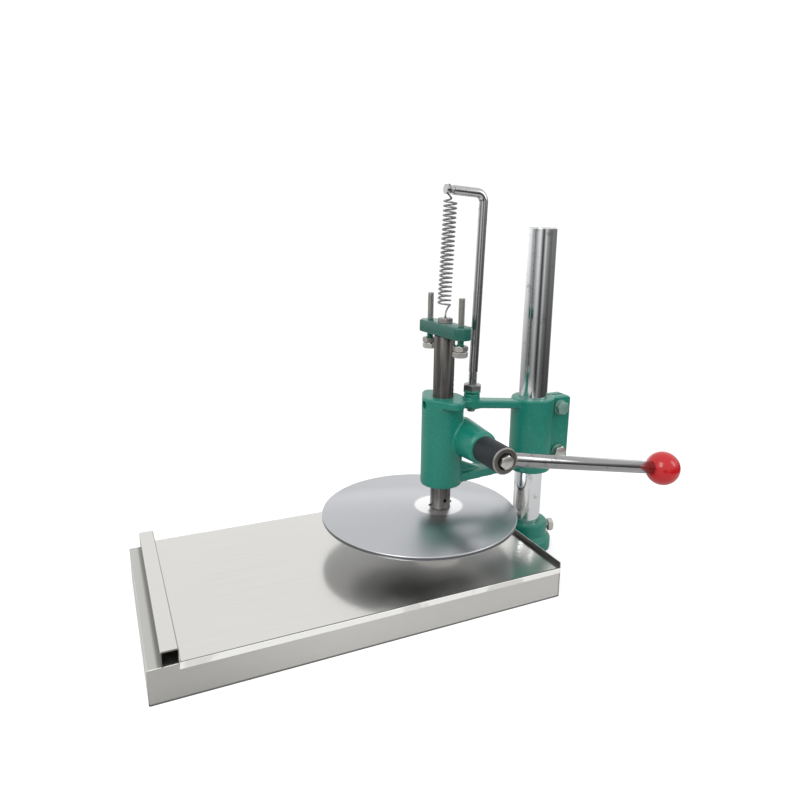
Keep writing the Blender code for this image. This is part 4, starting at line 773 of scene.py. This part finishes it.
def head_casting(paint):
    """The head: two barrels with a bridge and a web, stop ears, clamp ears and the pinion's bosses."""
    low = HEAD_BOTTOM + SKIN
    third = CLAMP_EAR_CORNER / 3
    ear_low = CLAMP_EAR_BOTTOM + SKIN
    ear_high = CLAMP_TOP - SKIN - MM
    ear_end = CLAMP_EAR_END - SKIN
    flange = [(CLAMP_EAR_START, 0, ear_low), (ear_end - third, 0, ear_low), (ear_end, 0, ear_low + third),
              (ear_end, 0, ear_high - third), (ear_end - third, 0, ear_high), (CLAMP_EAR_START, 0, ear_high)]
    gusset = [(RIB_START, 0, GUSSET_BOTTOM), (GUSSET_END, 0, GUSSET_BOTTOM), (RIB_START, 0, GUSSET_TOP)]
    ears = EAR_CORNERS + [(-x, y) for x, y in reversed(EAR_CORNERS)]
    ears += [(-x, -y) for x, y in ears]
    parts = [bar((0, 0, low), (0, 0, HEAD_TOP - SKIN), BARREL_RADIUS, steps=128),
             prism([CROSSHEAD_TURN @ Vector((x, y, 0)) for x, y in ears],
                   (0, 0, HEAD_TOP - EAR_THICKNESS), (0, 0, HEAD_TOP - SKIN)),
             bar(COLUMN_AXIS + Z * low, COLUMN_AXIS + Z * (CLAMP_TOP - SKIN), CLAMP_RADIUS, steps=128),
             prism(flange, (0, -CLAMP_EAR_HALF + SKIN, 0), (0, CLAMP_EAR_HALF - SKIN, 0)),
             rib(BRIDGE, BRIDGE_HALF),
             rib(WEB, WEB_HALF),
             prism(gusset, (0, -GUSSET_HALF, 0), (0, GUSSET_HALF, 0)),
             lathe([(0, 0)] + NEAR_BOSS_PROFILE + [(0, NEAR_BOSS_PROFILE[-1][1])], PINION_AXIS, -Y, steps=96),
             bar(PINION_AXIS, PINION_AXIS + Y * (FAR_BOSS_END - SKIN), FAR_BOSS_RADIUS, steps=96),
             bar(ROD_SEAT_PLACE - ROD_WAY * 20 * MM, ROD_SEAT_PLACE - ROD_WAY * SKIN, ROD_BOSS_RADIUS,
                 steps=96)]
    head = cast(parts, 1.15 * MM, 5)
    under = HEAD_BOTTOM - MM
    over = HEAD_TOP + 3 * MM
    head = cut(head,
               bar((0, 0, under), (0, 0, over), RAM_RADIUS + BORE_GAP, steps=96),
               bar(COLUMN_AXIS + Z * under, COLUMN_AXIS + Z * over, COLUMN_RADIUS + BORE_GAP, steps=96),
               *[bar((CLAMP_BOLT_X, -20 * MM, height), (CLAMP_BOLT_X, 20 * MM, height), CLAMP_HOLE_RADIUS,
                     steps=32) for height in CLAMP_BOLT_HEIGHTS])
    head = cut(head,
               block((COLUMN_AXIS.x, -CLAMP_SLIT / 2, under), (CLAMP_EAR_END + 6 * MM, CLAMP_SLIT / 2, over)),
               bar(PINION_AXIS + Y * (NEAR_BOSS_END - 4 * MM), PINION_AXIS + Y * BUSH_BORE_END, BUSH_RADIUS,
                   steps=96),
               bar((-RAM_RADIUS - BORE_GAP, 0, GUIDE_HEIGHT), (-30 * MM, 0, GUIDE_HEIGHT), GUIDE_HOLE_RADIUS,
                   steps=32))
    piece("head_cast_body", head, paint, "head", ["head_casting"])


def foot_casting(paint):
    """The foot: a plate under the tray, a wall behind it and the column's boss with its collar."""
    outline = []
    side = FOOT_HALF_WIDTH - FOOT_CORNER
    toe = FOOT_TOE + FOOT_CORNER
    heel = WALL_END - FOOT_CORNER
    for x, y, first in ((toe, -side, math.pi), (heel, -side, -math.pi / 2), (heel, side, 0),
                        (toe, side, math.pi / 2)):
        for step in range(7):
            angle = first + step * math.pi / 12
            outline.append((x + FOOT_CORNER * math.cos(angle), y + FOOT_CORNER * math.sin(angle), 0))
    parts = [prism(outline, (0, 0, 0), (0, 0, FOOT_THICKNESS)),
             block((WALL_START, -WALL_HALF_WIDTH, MM), (WALL_END, WALL_HALF_WIDTH, WALL_TOP)),
             block((FOOT_RIB_START, -FOOT_RIB_HALF, MM), (FOOT_RIB_END, FOOT_RIB_HALF, BOSS_TOP)),
             block((WALL_START, -BOSS_RADIUS, 0), (COLUMN_AXIS.x, BOSS_RADIUS, BOSS_TOP)),
             lathe([(0, 0), (BOSS_RADIUS, 0), (BOSS_RADIUS, BOSS_TOP), (COLLAR_RADIUS, COLLAR_START),
                    (COLLAR_RADIUS, COLLAR_TOP - SKIN), (0, COLLAR_TOP - SKIN)], COLUMN_AXIS, Z, steps=128)]
    for side in (-1, 1):
        pad = Vector((PAD_X, side * PAD_SPACING, 0))
        parts.append(bar(pad + Z * MM, pad + Z * PAD_TOP, PAD_RADIUS, steps=48))
    foot = cast(parts, 1.3 * MM, 4)
    middle = COLUMN_AXIS + Z * SET_BOLT_HEIGHT
    foot = cut(foot, bar(COLUMN_AXIS + Z * COLUMN_SEAT, COLUMN_AXIS + Z * (COLLAR_TOP + 6 * MM),
                         COLUMN_RADIUS + BORE_GAP, steps=96))
    foot = cut(foot, bar(middle, middle + SET_BOLT_WAY * 40 * MM, SET_BOLT_HOLE_RADIUS, steps=32),
               *[bar((WALL_START - 4.1 * MM, side * PAD_SPACING, END_BOLT_HEIGHT),
                     (WALL_END + 3.9 * MM, side * PAD_SPACING, END_BOLT_HEIGHT), END_BOLT_HOLE_RADIUS,
                     steps=24) for side in (-1, 1)])
    piece("foot_cast_body", foot, paint, "base", ["base_casting"])


def bent(part, edges, width, steel):
    """Round the folds of a sheet's middle surface and give it its thickness."""
    bmesh.ops.bevel(part, geom=edges, offset=width, offset_type="OFFSET", segments=4, profile=0.5,
                    affect="EDGES", material=-1, clamp_overlap=True)
    bmesh.ops.recalc_face_normals(part, faces=part.faces)
    return applied(part, "SOLIDIFY", thickness=steel, offset=0, use_even_offset=True)


def pulled(part, edges, way):
    """Draw edges out into a new strip, and give back the strip's outer edges."""
    drawn = bmesh.ops.extrude_edge_only(part, edges=edges)["geom"]
    moved = [item for item in drawn if isinstance(item, bmesh.types.BMVert)]
    bmesh.ops.translate(part, vec=way, verts=moved)
    kept = set(moved)
    return [item for item in drawn if isinstance(item, bmesh.types.BMEdge) and set(item.verts) <= kept]


def sliding_sheet(steel):
    """The sheet under the dough: lips down both sides, a folded rail at its loading end."""
    low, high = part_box("slide_sheet")
    half = SHEET_STEEL / 2
    rail = low.x + RAIL_WIDTH - half
    floor = high.z - RAIL_HEIGHT + SHEET_STEEL - half
    rise = high.z - half - floor
    part = bmesh.new()
    corners = [(rail, low.y + half), (high.x, low.y + half), (high.x, high.y - half), (rail, high.y - half)]
    panel = part.faces.new([part.verts.new((x, y, floor)) for x, y in corners])
    near, _, far, left = panel.edges
    for lip in (near, far):
        pulled(part, [lip], -Z * (SHEET_LIP - half))
    top = pulled(part, [left], Z * rise)
    outer = pulled(part, top, -X * (RAIL_WIDTH - SHEET_STEEL))
    pulled(part, outer, -Z * (rise + half))
    part = bent(part, [near, far, left] + top + outer, BEND, SHEET_STEEL)
    piece("bent_sliding_sheet", part, steel, "sheet", ["slide_sheet"], sharp=50)


def folded_tray(steel):
    """The tray: three sides folded down, and an end strip that stands up as the stop at the column's end."""
    low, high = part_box("base_tray")
    half = TRAY_STEEL / 2
    top = TRAY_HEIGHT - half
    corners = [(low.x + half, low.y + half), (high.x - half, low.y + half),
               (high.x - half, high.y - half), (low.x + half, high.y - half)]
    part = bmesh.new()
    panel = part.faces.new([part.verts.new((x, y, top)) for x, y in corners])
    near, _, far, left = panel.edges
    for fold in (near, far, left):
        pulled(part, [fold], -Z * top)
    shell = bent(part, [near, far, left], BEND, TRAY_STEEL)
    strip = block((high.x - TRAY_STEEL, low.y, FOOT_THICKNESS + MM / 3),
                  (high.x, high.y, TRAY_HEIGHT + TRAY_LIP), edge=0.35 * MM)
    ends = []
    for side, outer in ((-1, low.y), (1, high.y)):
        first, last = sorted((side * (FOOT_HALF_WIDTH + MM / 3), outer))
        ends.append(block((high.x - TRAY_STEEL, first, 0), (high.x, last, FOOT_THICKNESS + MM),
                          edge=0.2 * MM))
    piece("bent_tray", gathered(shell, strip, *ends), steel, "base", ["base_tray"], sharp=50)


def column_bar(plate):
    """The column, with rounded edges and a centre mark in its top."""
    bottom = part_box("column")[0].z
    rounding = COLUMN_ROUNDING
    mark = [(3 * MM, COLUMN_TOP), (2.2 * MM, COLUMN_TOP - MM / 5), (0, COLUMN_TOP - 2.2 * MM)]
    profile = [(0, bottom), (COLUMN_RADIUS, bottom), (COLUMN_RADIUS, COLUMN_TOP - rounding),
               (COLUMN_RADIUS - rounding / 3, COLUMN_TOP - rounding / 3),
               (COLUMN_RADIUS - rounding, COLUMN_TOP)]
    piece("column_round_bar", lathe(profile + mark, COLUMN_AXIS, Z, steps=144), plate, "base", ["column"],
          sharp=25)


def racked_ram(steel):
    """The ram: a round bar with a rack cut along its column side and a cross hole above its foot."""
    blank = bar((0, 0, RAM_FOOT), (0, 0, RAM_TOP), RAM_RADIUS, steps=96, edge=0.8 * MM)
    first = PINION_AXIS.z - 2.5 * RACK_PITCH
    out = RAM_RADIUS + 2 * MM
    outline = [(out, 0, first - RACK_PITCH / 2), (RACK_ROOT, 0, first - RACK_PITCH / 2)]
    for tooth in range(RACK_TEETH):
        middle = first + tooth * RACK_PITCH
        outline += [(RACK_ROOT, 0, middle - RACK_ROOT_HALF), (RACK_TIP, 0, middle - RACK_TIP_HALF),
                    (RACK_TIP, 0, middle + RACK_TIP_HALF), (RACK_ROOT, 0, middle + RACK_ROOT_HALF)]
    last = first + (RACK_TEETH - 1) * RACK_PITCH + RACK_PITCH / 2
    outline += [(RACK_ROOT, 0, last), (out, 0, last)]
    gaps = prism(outline, (0, -out, 0), (0, out, 0))
    hole = bar((0, -out, PIN_HEIGHT), (0, out, PIN_HEIGHT), PIN_HOLE_RADIUS, steps=32)
    piece("ram_with_rack", cut(blank, gaps, hole), steel, "ram", ["ram"], sharp=30)


def round_plate(steel):
    """The pressing plate, with its edges broken."""
    low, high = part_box("press_disc")
    centre = Vector(((low.x + high.x) / 2, 0, 0))
    profile = [(0, low.z), (DISC_RADIUS - 1.2 * MM, low.z), (DISC_RADIUS - 0.3 * MM, low.z + 0.9 * MM),
               (DISC_RADIUS, low.z + 2.4 * MM), (DISC_RADIUS, DISC_TOP - 1.4 * MM),
               (DISC_RADIUS - 0.3 * MM, DISC_TOP - 0.5 * MM), (DISC_RADIUS - 1 * MM, DISC_TOP), (0, DISC_TOP)]
    piece("round_press_plate", lathe(profile, centre, Z, steps=192), steel, "ram", ["press_disc"],
          sharp=50)


def crosshead_bar(paint):
    """The cast bar on the ram's top, with cut corners."""
    wide = CROSSHEAD_HALF_WIDTH
    long = CROSSHEAD_HALF_LENGTH
    corner = CROSSHEAD_CORNER
    points = [(wide, corner - long), (wide, long - corner), (wide - corner, long), (corner - wide, long),
              (-wide, long - corner), (-wide, corner - long), (corner - wide, -long), (wide - corner, -long)]
    part = prism([CROSSHEAD_TURN @ Vector((x, y, 0)) for x, y in points], (0, 0, CROSSHEAD_BOTTOM),
                 (0, 0, CROSSHEAD_TOP), edge=1.6 * MM, segments=4)
    piece("crosshead_cast_bar", part, paint, "ram", ["crosshead"], sharp=60)


def stop_studs(zinc, sprayed):
    """The two depth stops: a threaded stud through the crosshead and two locked nuts on each."""
    for side, name in ((-1, "near"), (1, "far")):
        low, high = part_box("stop_stud_" + name)
        place = CROSSHEAD_TURN @ Vector((0, side * STUD_SPACING, 0))
        part = thread(place + Z * low.z, Z, STUD_RADIUS, high.z - low.z, STUD_PITCH)
        piece("threaded_stud_" + name, part, sprayed, "ram", ["stop_stud_" + name])
        for level, turn in (("lower", 0.3), ("upper", 0.75)):
            node = "stop_nut_" + name + "_" + level
            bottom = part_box(node)[0].z
            part = hexagonal(LARGE_FLATS, 6.7 * MM, place + Z * bottom, Z, bore=4.1 * MM, turn=turn * side)
            piece("chamfered_" + node, part, zinc, "ram", [node])


def crosshead_bolt(zinc):
    """The bolt that holds the crosshead, drilled for the spring's tail."""
    head = hexagonal(BOLT_FLATS, BOLT_TOP - BOLT_SEAT, (0, 0, BOLT_SEAT), Z, seated=True, turn=0.25)
    shank = bar((0, 0, BOLT_END), (0, 0, BOLT_SEAT + 1.2 * MM), 4.4 * MM, steps=32)
    hole = bar((0, 0, BOLT_HOLE_END), (0, 0, BOLT_TOP + 2 * MM), 1.4 * MM, steps=24)
    piece("crosshead_drilled_bolt", cut(gathered(head, shank), hole), zinc, "ram", ["crosshead_bolt"])


def rod_points():
    """Centre line of the spring's rod."""
    slope = math.tan(ROD_LEAN)
    foot = Vector((ROD_FOOT_X - (ROD_SEAT - ROD_FOOT) * slope, 0, ROD_FOOT))
    corner = Vector((ROD_FOOT_X + (ROD_CORNER - ROD_SEAT) * slope, 0, ROD_CORNER))
    bend = math.pi - ROD_WAY.angle(-ROD_ARM_WAY)
    start = corner - ROD_WAY * ROD_BEND * math.tan(bend / 2)
    centre = start - Vector((math.cos(ROD_LEAN), 0, -math.sin(ROD_LEAN))) * ROD_BEND
    points = [foot, start]
    steps = 16
    for step in range(1, steps + 1):
        points.append(centre + Matrix.Rotation(-bend * step / steps, 3, "Y") @ (start - centre))
    points.append(corner + ROD_ARM_WAY * (corner.x + ROD_REACH) / math.cos(ROD_RISE))
    return points


def spring_rod(plate):
    """The bent rod over the ram, with its thread, and the neck that holds the spring's loop."""
    points = rod_points()
    lean = (points[1] - points[0]).normalized()
    upper = [points[0] + lean * ROD_THREAD] + points[1:]
    over = 2 * ROD_RADIUS
    start = -2.1 * MM
    end = 5 * MM
    waste = lathe([(ROD_NECK, start), (ROD_NECK, end - 0.4 * MM), (ROD_NECK + MM / 3, end), (over, end),
                   (over, start)], ROD_ARM, -ROD_ARM_WAY, steps=48, ring=True)
    inner = ROD_RADIUS - MM
    outer = ROD_RADIUS + MM / 20
    shoulder = lathe([(inner, 5.1 * MM), (ROD_RADIUS - MM / 10, 5.1 * MM), (outer, 5.6 * MM),
                      (outer, 7.2 * MM), (inner, 7.4 * MM)], ROD_ARM, -ROD_ARM_WAY, steps=48, ring=True)
    part = gathered(cut(wire(upper, ROD_RADIUS, sides=32), waste), shoulder,
                    thread(points[0], lean, ROD_RADIUS, ROD_THREAD, 1.75 * MM, steps=28))
    piece("bent_spring_rod", part, plate, "head", ["spring_rod"])


def rod_nut(sprayed):
    seat = ROD_SEAT_PLACE + ROD_WAY * 0.3 * MM
    nut = hexagonal(ROD_NUT_FLATS, 10.4 * MM, seat, ROD_WAY, bore=5.7 * MM, turn=math.radians(29))
    piece("rod_hexagon_nut", nut, sprayed, "head", ["rod_lock_nut"])


def lead(points, top, bottom, shift):
    """The wire's way between the coil and its end, by its lead; the coil's lean fades out along it."""
    route = []
    for bearing, out, down in points:
        angle = math.radians(bearing)
        place = Vector((math.cos(angle), math.sin(angle), 0)) * COIL_RADIUS * out
        share = down if shift > 0 else 1 - down
        route.append(place + COIL_LEAN * shift * share + Z * (top + (bottom - top) * down))
    return route


def coil_spring(steel):
    """The return spring: a loop round the rod's neck, a coil that leans a little and a tail in the bolt."""
    points = []
    for step in range(LOOP_STEPS + 1):
        angle = math.radians(LOOP_START - LOOP_STEP * step)
        points.append(ROD_ARM + LOOP_RADIUS * Vector((0, math.cos(angle), math.sin(angle))))
    points += lead(TOP_LEAD, points[-1].z, COIL_TOP, 1)
    steps = round(COIL_TURNS * 20)
    for step in range(steps + 1):
        share = step / steps
        angle = COIL_START + math.tau * COIL_TURNS * step / steps
        way = Vector((math.cos(angle), math.sin(angle), 0))
        height = COIL_TOP + (COIL_BOTTOM - COIL_TOP) * share
        points.append(way * COIL_RADIUS * CURVE_SWELL + COIL_LEAN * (1 - 2 * share) + Z * height)
    points += lead(FOOT_LEAD, COIL_BOTTOM, TAIL_TOP, -1)
    points += [Vector((0, 0, height)) for height in (TAIL_TOP - MM, BOLT_TOP, TAIL_END)]
    made = piece("coil_return_spring", wire(points, COIL_WIRE, sides=12, smooth=True), steel, None,
                 ["return_spring"], sharp=60)
    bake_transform(made)


def clamp_fasteners(zinc, sprayed):
    """The clamp's two bolts with their washers and nuts."""
    washer_face = CLAMP_EAR_HALF + 0.3 * MM
    washer = 1.8 * MM
    head_face = washer_face + washer + 0.3 * MM
    threaded = 14 * MM
    ring = [(5.3 * MM, 0), (9.9 * MM, 0), (9.9 * MM, washer), (5.3 * MM, washer)]
    for level, height, turn, outside in (("lower", CLAMP_BOLT_HEIGHTS[0], 0.2, zinc),
                                         ("upper", CLAMP_BOLT_HEIGHTS[1], 0.8, sprayed)):
        place = Vector((CLAMP_BOLT_X, 0, height))
        node = "clamp_bolt_" + level
        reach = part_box(node)[1].y
        part = gathered(hexagonal(LARGE_FLATS, 6.4 * MM, place - Y * head_face, -Y, seated=True, turn=turn),
                        bar(place - Y * (head_face + MM), place + Y * (reach - threaded + 2 * MM), 4.8 * MM,
                            steps=32),
                        thread(place + Y * (reach - threaded), Y, 4.9 * MM, threaded, 1.5 * MM))
        piece("hexagon_" + node, part, outside, "head", [node])
        for side, name, finish in ((-1, "near", sprayed), (1, "far", zinc)):
            node = "clamp_washer_" + level + "_" + name
            part = lathe(ring, place + Y * side * washer_face, Y * side, steps=48, ring=True, edge=0.3 * MM)
            piece("round_" + node, part, finish, "head", [node])
        node = "clamp_nut_" + level
        part = hexagonal(LARGE_FLATS, 7.9 * MM, place + Y * head_face, Y, bore=5.1 * MM, turn=0.5)
        piece("hexagon_" + node, part, zinc, "head", [node])


def collar_bolt(zinc):
    face = COLUMN_AXIS + Z * SET_BOLT_HEIGHT + SET_BOLT_WAY * SET_BOLT_FACE
    part = gathered(hexagonal(MIDDLE_FLATS, 6.5 * MM, face, SET_BOLT_WAY, seated=True, turn=0.35),
                    thread(face - SET_BOLT_WAY * 12.6 * MM, SET_BOLT_WAY, 4.4 * MM, 13 * MM, 1.5 * MM))
    piece("collar_hexagon_bolt", part, zinc, "base", ["collar_set_bolt"])


def tray_fasteners(zinc):
    """On each side, a bolt and a nut through the tray's end and a slotted screw down into the foot."""
    head_height = 4.2 * MM
    for name in ("near", "far"):
        node = "tray_end_bolt_" + name
        low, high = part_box(node)
        _, y, z = (low + high) / 2
        head = Vector((high.x - head_height, y, z))
        part = gathered(hexagonal(SMALL_FLATS, head_height, head, X, seated=True, turn=0.5),
                        thread(Vector((low.x, y, z)), X, 2.9 * MM, head.x - low.x + MM, 1 * MM))
        piece("hexagon_" + node, part, zinc, "base", [node])
        node = "tray_end_nut_" + name
        low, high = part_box(node)
        part = hexagonal(SMALL_FLATS, high.x - low.x, Vector((low.x, y, z)), X, bore=3.2 * MM)
        piece("hexagon_" + node, part, zinc, "base", [node])
        node = "tray_screw_" + name
        low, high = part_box(node)
        x, y, _ = (low + high) / 2
        shank = 2.4 * MM
        rim = 4.7 * MM
        part = lathe([(0, low.z), (shank, low.z), (shank, high.z - 2.4 * MM), (rim, high.z - MM / 5),
                      (rim, high.z), (0, high.z)], (x, y, 0), Z, steps=48)
        slot = block((x - 6 * MM, y - MM / 2, high.z - MM), (x + 6 * MM, y + MM / 2, high.z + MM))
        piece("slotted_" + node, cut(part, slot), zinc, "base", [node])


def guide_screw(steel):
    """The screw that keeps the ram from turning, with a hexagon socket."""
    low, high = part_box("ram_guide_screw")
    _, y, z = (low + high) / 2
    length = high.x - low.x
    radius = 4.4 * MM
    part = lathe([(0, 0), (radius / 2, 0), (radius, 1.2 * MM), (radius, length - 0.6 * MM),
                  (radius - MM / 2, length), (0, length)], (high.x, y, z), -X, steps=40)
    socket = hexagonal(4 * MM, 6 * MM, (low.x + 3.5 * MM, y, z), -X)
    piece("socket_guide_screw", cut(part, socket), steel, "head", ["ram_guide_screw"])


def lever_sleeve(black):
    """The sleeve on the pinion's shaft, with a recess round its bolt and a cross hole for the lever."""
    length = HUB_START - HUB_END
    rim = 1.5 * MM
    back = 7.8 * MM
    recess = HUB_RECESS_RADIUS
    profile = [(0, MM), (back, MM), (back, 0), (HUB_RADIUS - rim / 2, 0), (HUB_RADIUS, rim / 2),
               (HUB_RADIUS, length - rim), (HUB_RADIUS - rim / 3, length - rim / 3),
               (HUB_RADIUS - rim, length), (recess + MM / 3, length), (recess, length - MM / 3),
               (recess, length - HUB_RECESS), (0, length - HUB_RECESS)]
    sleeve = lathe(profile, PINION_AXIS + Y * HUB_START, -Y, steps=96)
    sleeve = cut(sleeve, bar(LEVER_AXIS, LEVER_AXIS + LEVER_WAY * 20 * MM, 7 * MM, steps=48))
    piece("lever_sleeve", sleeve, black, "lever", ["lever_hub"], sharp=30)


def sleeve_bolt(zinc):
    face = PINION_AXIS + Y * (HUB_END + 3 * MM)
    bolt = hexagonal(MIDDLE_FLATS, 7.4 * MM, face, -Y, seated=True, turn=math.radians(17))
    piece("sleeve_end_bolt", bolt, zinc, "lever", ["hub_bolt"])


def lever_bar(plate):
    """The lever: a spigot in the sleeve, a shoulder and a bar that tapers to the knob."""
    shoulder = HUB_RADIUS - 3 * MM
    spigot = 6.6 * MM
    profile = [(0, 4 * MM), (spigot, 4 * MM), (spigot, shoulder), (8.1 * MM, shoulder + 2 * MM),
               (8.5 * MM, shoulder + 5 * MM), (7.9 * MM, LEVER_NECK - MM), (7.3 * MM, LEVER_NECK),
               (0, LEVER_NECK)]
    part = lathe(profile, LEVER_AXIS, LEVER_WAY, steps=96)
    piece("tapered_lever_bar", part, plate, "lever", ["lever_rod"], sharp=35)


def ball_knob(red):
    """The knob: a ball with a flat where the lever enters it."""
    ball = bmesh.new()
    bmesh.ops.create_uvsphere(ball, u_segments=96, v_segments=64, radius=KNOB_RADIUS)
    middle = LEVER_AXIS + LEVER_WAY * LEVER_LENGTH
    bmesh.ops.transform(ball, matrix=facing(middle, LEVER_WAY), verts=ball.verts)
    flat = LEVER_AXIS + LEVER_WAY * (LEVER_NECK - 0.2 * MM)
    ball = cut(ball, bar(flat - LEVER_WAY * 10 * MM, flat, 20 * MM, steps=48))
    piece("ball_knob", softened(ball, MM / 2, 3, 45), red, "lever", ["lever_knob"], sharp=60)


def repaint(material, *nodes):
    """Give the carried-over solids their finish."""
    for name in nodes:
        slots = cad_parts[name].data.materials
        if slots:
            slots[0] = material
        else:
            slots.append(material)


def floor_disc():
    floor = bmesh.new()
    bmesh.ops.create_circle(floor, cap_ends=True, segments=96, radius=FLOOR_RADIUS,
                            matrix=Matrix.Translation((-0.1, 0, -MM / 5)))
    mesh = meshed("floor", floor)
    pale = Finish("pale_floor", Roughness=0.9, Specular_IOR_Level=0.1, Emission_Strength=FLOOR_GLOW)
    pale.colour((0.62, 0.62, 0.62, 1))
    seen = pale.node("LightPath", {}, {}, output="Is Camera Ray")
    pale.feed(pale.shader.inputs["Emission Color"], pale.mix(seen, (0, 0, 0), (1, 1, 1)))
    mesh.materials.append(pale.material)
    placed("floor", mesh)


def room():
    """A white backdrop, a bright ceiling, and walls of light screens and dark gaps that the metal mirrors."""
    world = bpy.data.worlds.new("white_room")
    world.use_nodes = True
    bpy.context.scene.world = world
    light = Mixture(world.node_tree, "Generated")
    behind = (-math.sin(CAMERA_TURN), -math.cos(CAMERA_TURN), 0)
    aside = (math.cos(CAMERA_TURN), -math.sin(CAMERA_TURN), 0)
    back, right = [light.node("VectorMath", {"operation": "DOT_PRODUCT"}, {0: light.place, 1: way},
                              output="Value") for way in (behind, aside)]
    bearing = right.maths("ARCTAN2", right, back)
    walls = light.node("ValToRGB", {"stops": [(angle / 360 + 0.5, shade) for angle, shade in WALLS]},
                       {0: bearing * (1 / math.tau) + 0.5})
    rise = light.axis("Z")
    strength = light.ramp(rise, -0.25, 0.02, 0.55, 1.7)
    screens = light.node("VectorMath", {"operation": "SCALE"}, {0: walls, "Scale": strength})
    shade = light.mix(light.ramp(rise, -0.02, 0.30), screens, CEILING)
    seen = light.node("LightPath", {}, {}, output="Is Camera Ray")
    light.feed(world.node_tree.nodes["Background"].inputs["Color"], light.mix(seen, shade, BACKDROP))


def lamp(name, place, size, power):
    """A soft lamp that faces the middle of the press."""
    place = Vector(place)
    light = bpy.data.lights.new(name, "AREA")
    light.shape = "RECTANGLE"
    light.size = size
    light.size_y = size * 1.4
    light.energy = power
    holder = placed(name, light)
    aim = Vector((0, 0, 0.2)) - place
    holder.matrix_world = Matrix.Translation(place) @ aim.to_track_quat("-Z", "Y").to_matrix().to_4x4()


def camera():
    """The photograph's camera."""
    data = bpy.data.cameras.new("camera")
    data.sensor_width = SENSOR
    data.lens = SENSOR * FOCAL_PIXELS / PICTURE_SIDE
    data.shift_x = (PICTURE_SIDE / 2 - AXIS_PIXEL[0]) / PICTURE_SIDE
    data.shift_y = (AXIS_PIXEL[1] - PICTURE_SIDE / 2) / PICTURE_SIDE
    data.clip_start = 0.01
    made = placed("camera", data)
    level = Vector((math.sin(CAMERA_TURN), math.cos(CAMERA_TURN), 0))
    ahead = level * math.cos(CAMERA_DIP) - Z * math.sin(CAMERA_DIP)
    right = Vector((math.cos(CAMERA_TURN), -math.sin(CAMERA_TURN), 0))
    up = right.cross(ahead)
    rolled = (math.cos(CAMERA_ROLL) * right + math.sin(CAMERA_ROLL) * up,
              math.cos(CAMERA_ROLL) * up - math.sin(CAMERA_ROLL) * right, -ahead)
    made.matrix_world = Matrix.Translation(CAMERA_PLACE) @ Matrix(rolled).transposed().to_4x4()
    bpy.context.scene.camera = made


bpy.context.scene.view_settings.view_transform = "Standard"
floor_disc()
room()
lamp("key", (-1.0, -0.7, 1.3), 0.7, 9)
lamp("fill", (1.1, -0.9, 0.9), 0.5, 3)
camera()
green = casting_paint("green_casting_paint")
# The crosshead's copy of the green paint is darker as painted shade.
shaded_green = casting_paint("shaded_green_casting_paint", 0.50)
bright = chrome("column_chrome", (0.80, 0.81, 0.82), 0.07, end=COLUMN_TOP)
rod_chrome = chrome("rod_chrome", (0.52, 0.52, 0.53), 0.12)
lever_chrome = chrome("lever_chrome", (0.35, 0.35, 0.355), 0.10)
tray_steel = tray_finish()
sheet_steel = sheet_finish()
plate_steel = turned_plate()
ram_steel = oiled_steel("oiled_ram_steel", (0.20, 0.19, 0.18), (0.07, 0.066, 0.062))
dark_steel = oiled_steel("oiled_dark_steel", (0.16, 0.155, 0.15), (0.06, 0.058, 0.055))
zinc = zinc_plate("bright_zinc", (0.72, 0.71, 0.68), (0.48, 0.47, 0.44))
clamp_zinc = zinc_plate("overpainted_clamp_zinc", (0.60, 0.66, 0.62), (0.35, 0.45, 0.41), 0.30, 0.6)
stud_zinc = zinc_plate("oversprayed_stud_zinc", (0.66, 0.66, 0.63), (0.42, 0.42, 0.39), 0.3125)
nut_zinc = zinc_plate("oversprayed_nut_zinc", (0.42, 0.41, 0.41), (0.22, 0.22, 0.22), 0.2265)
dull_zinc = zinc_plate("dull_zinc", (0.50, 0.49, 0.47), (0.28, 0.27, 0.26))
spring_steel = zinc_plate("spring_wire", (0.40, 0.40, 0.40), (0.20, 0.20, 0.20))
bronze = bearing_bronze()
red = red_resin()
black = blacked_steel()

foot_casting(green)
column_bar(bright)
folded_tray(tray_steel)
collar_bolt(zinc)
tray_fasteners(zinc)
sliding_sheet(sheet_steel)
head_casting(green)
guide_screw(dark_steel)
clamp_fasteners(zinc, clamp_zinc)
spring_rod(rod_chrome)
rod_nut(nut_zinc)
coil_spring(spring_steel)
racked_ram(ram_steel)
round_plate(plate_steel)
crosshead_bar(shaded_green)
crosshead_bolt(dull_zinc)
stop_studs(zinc, stud_zinc)
lever_sleeve(black)
sleeve_bolt(zinc)
lever_bar(lever_chrome)
ball_knob(red)
repaint(bronze, "near_pinion_bush", "far_pinion_bush")
repaint(dark_steel, "disc_pin", "pinion_shaft", "hub_key")
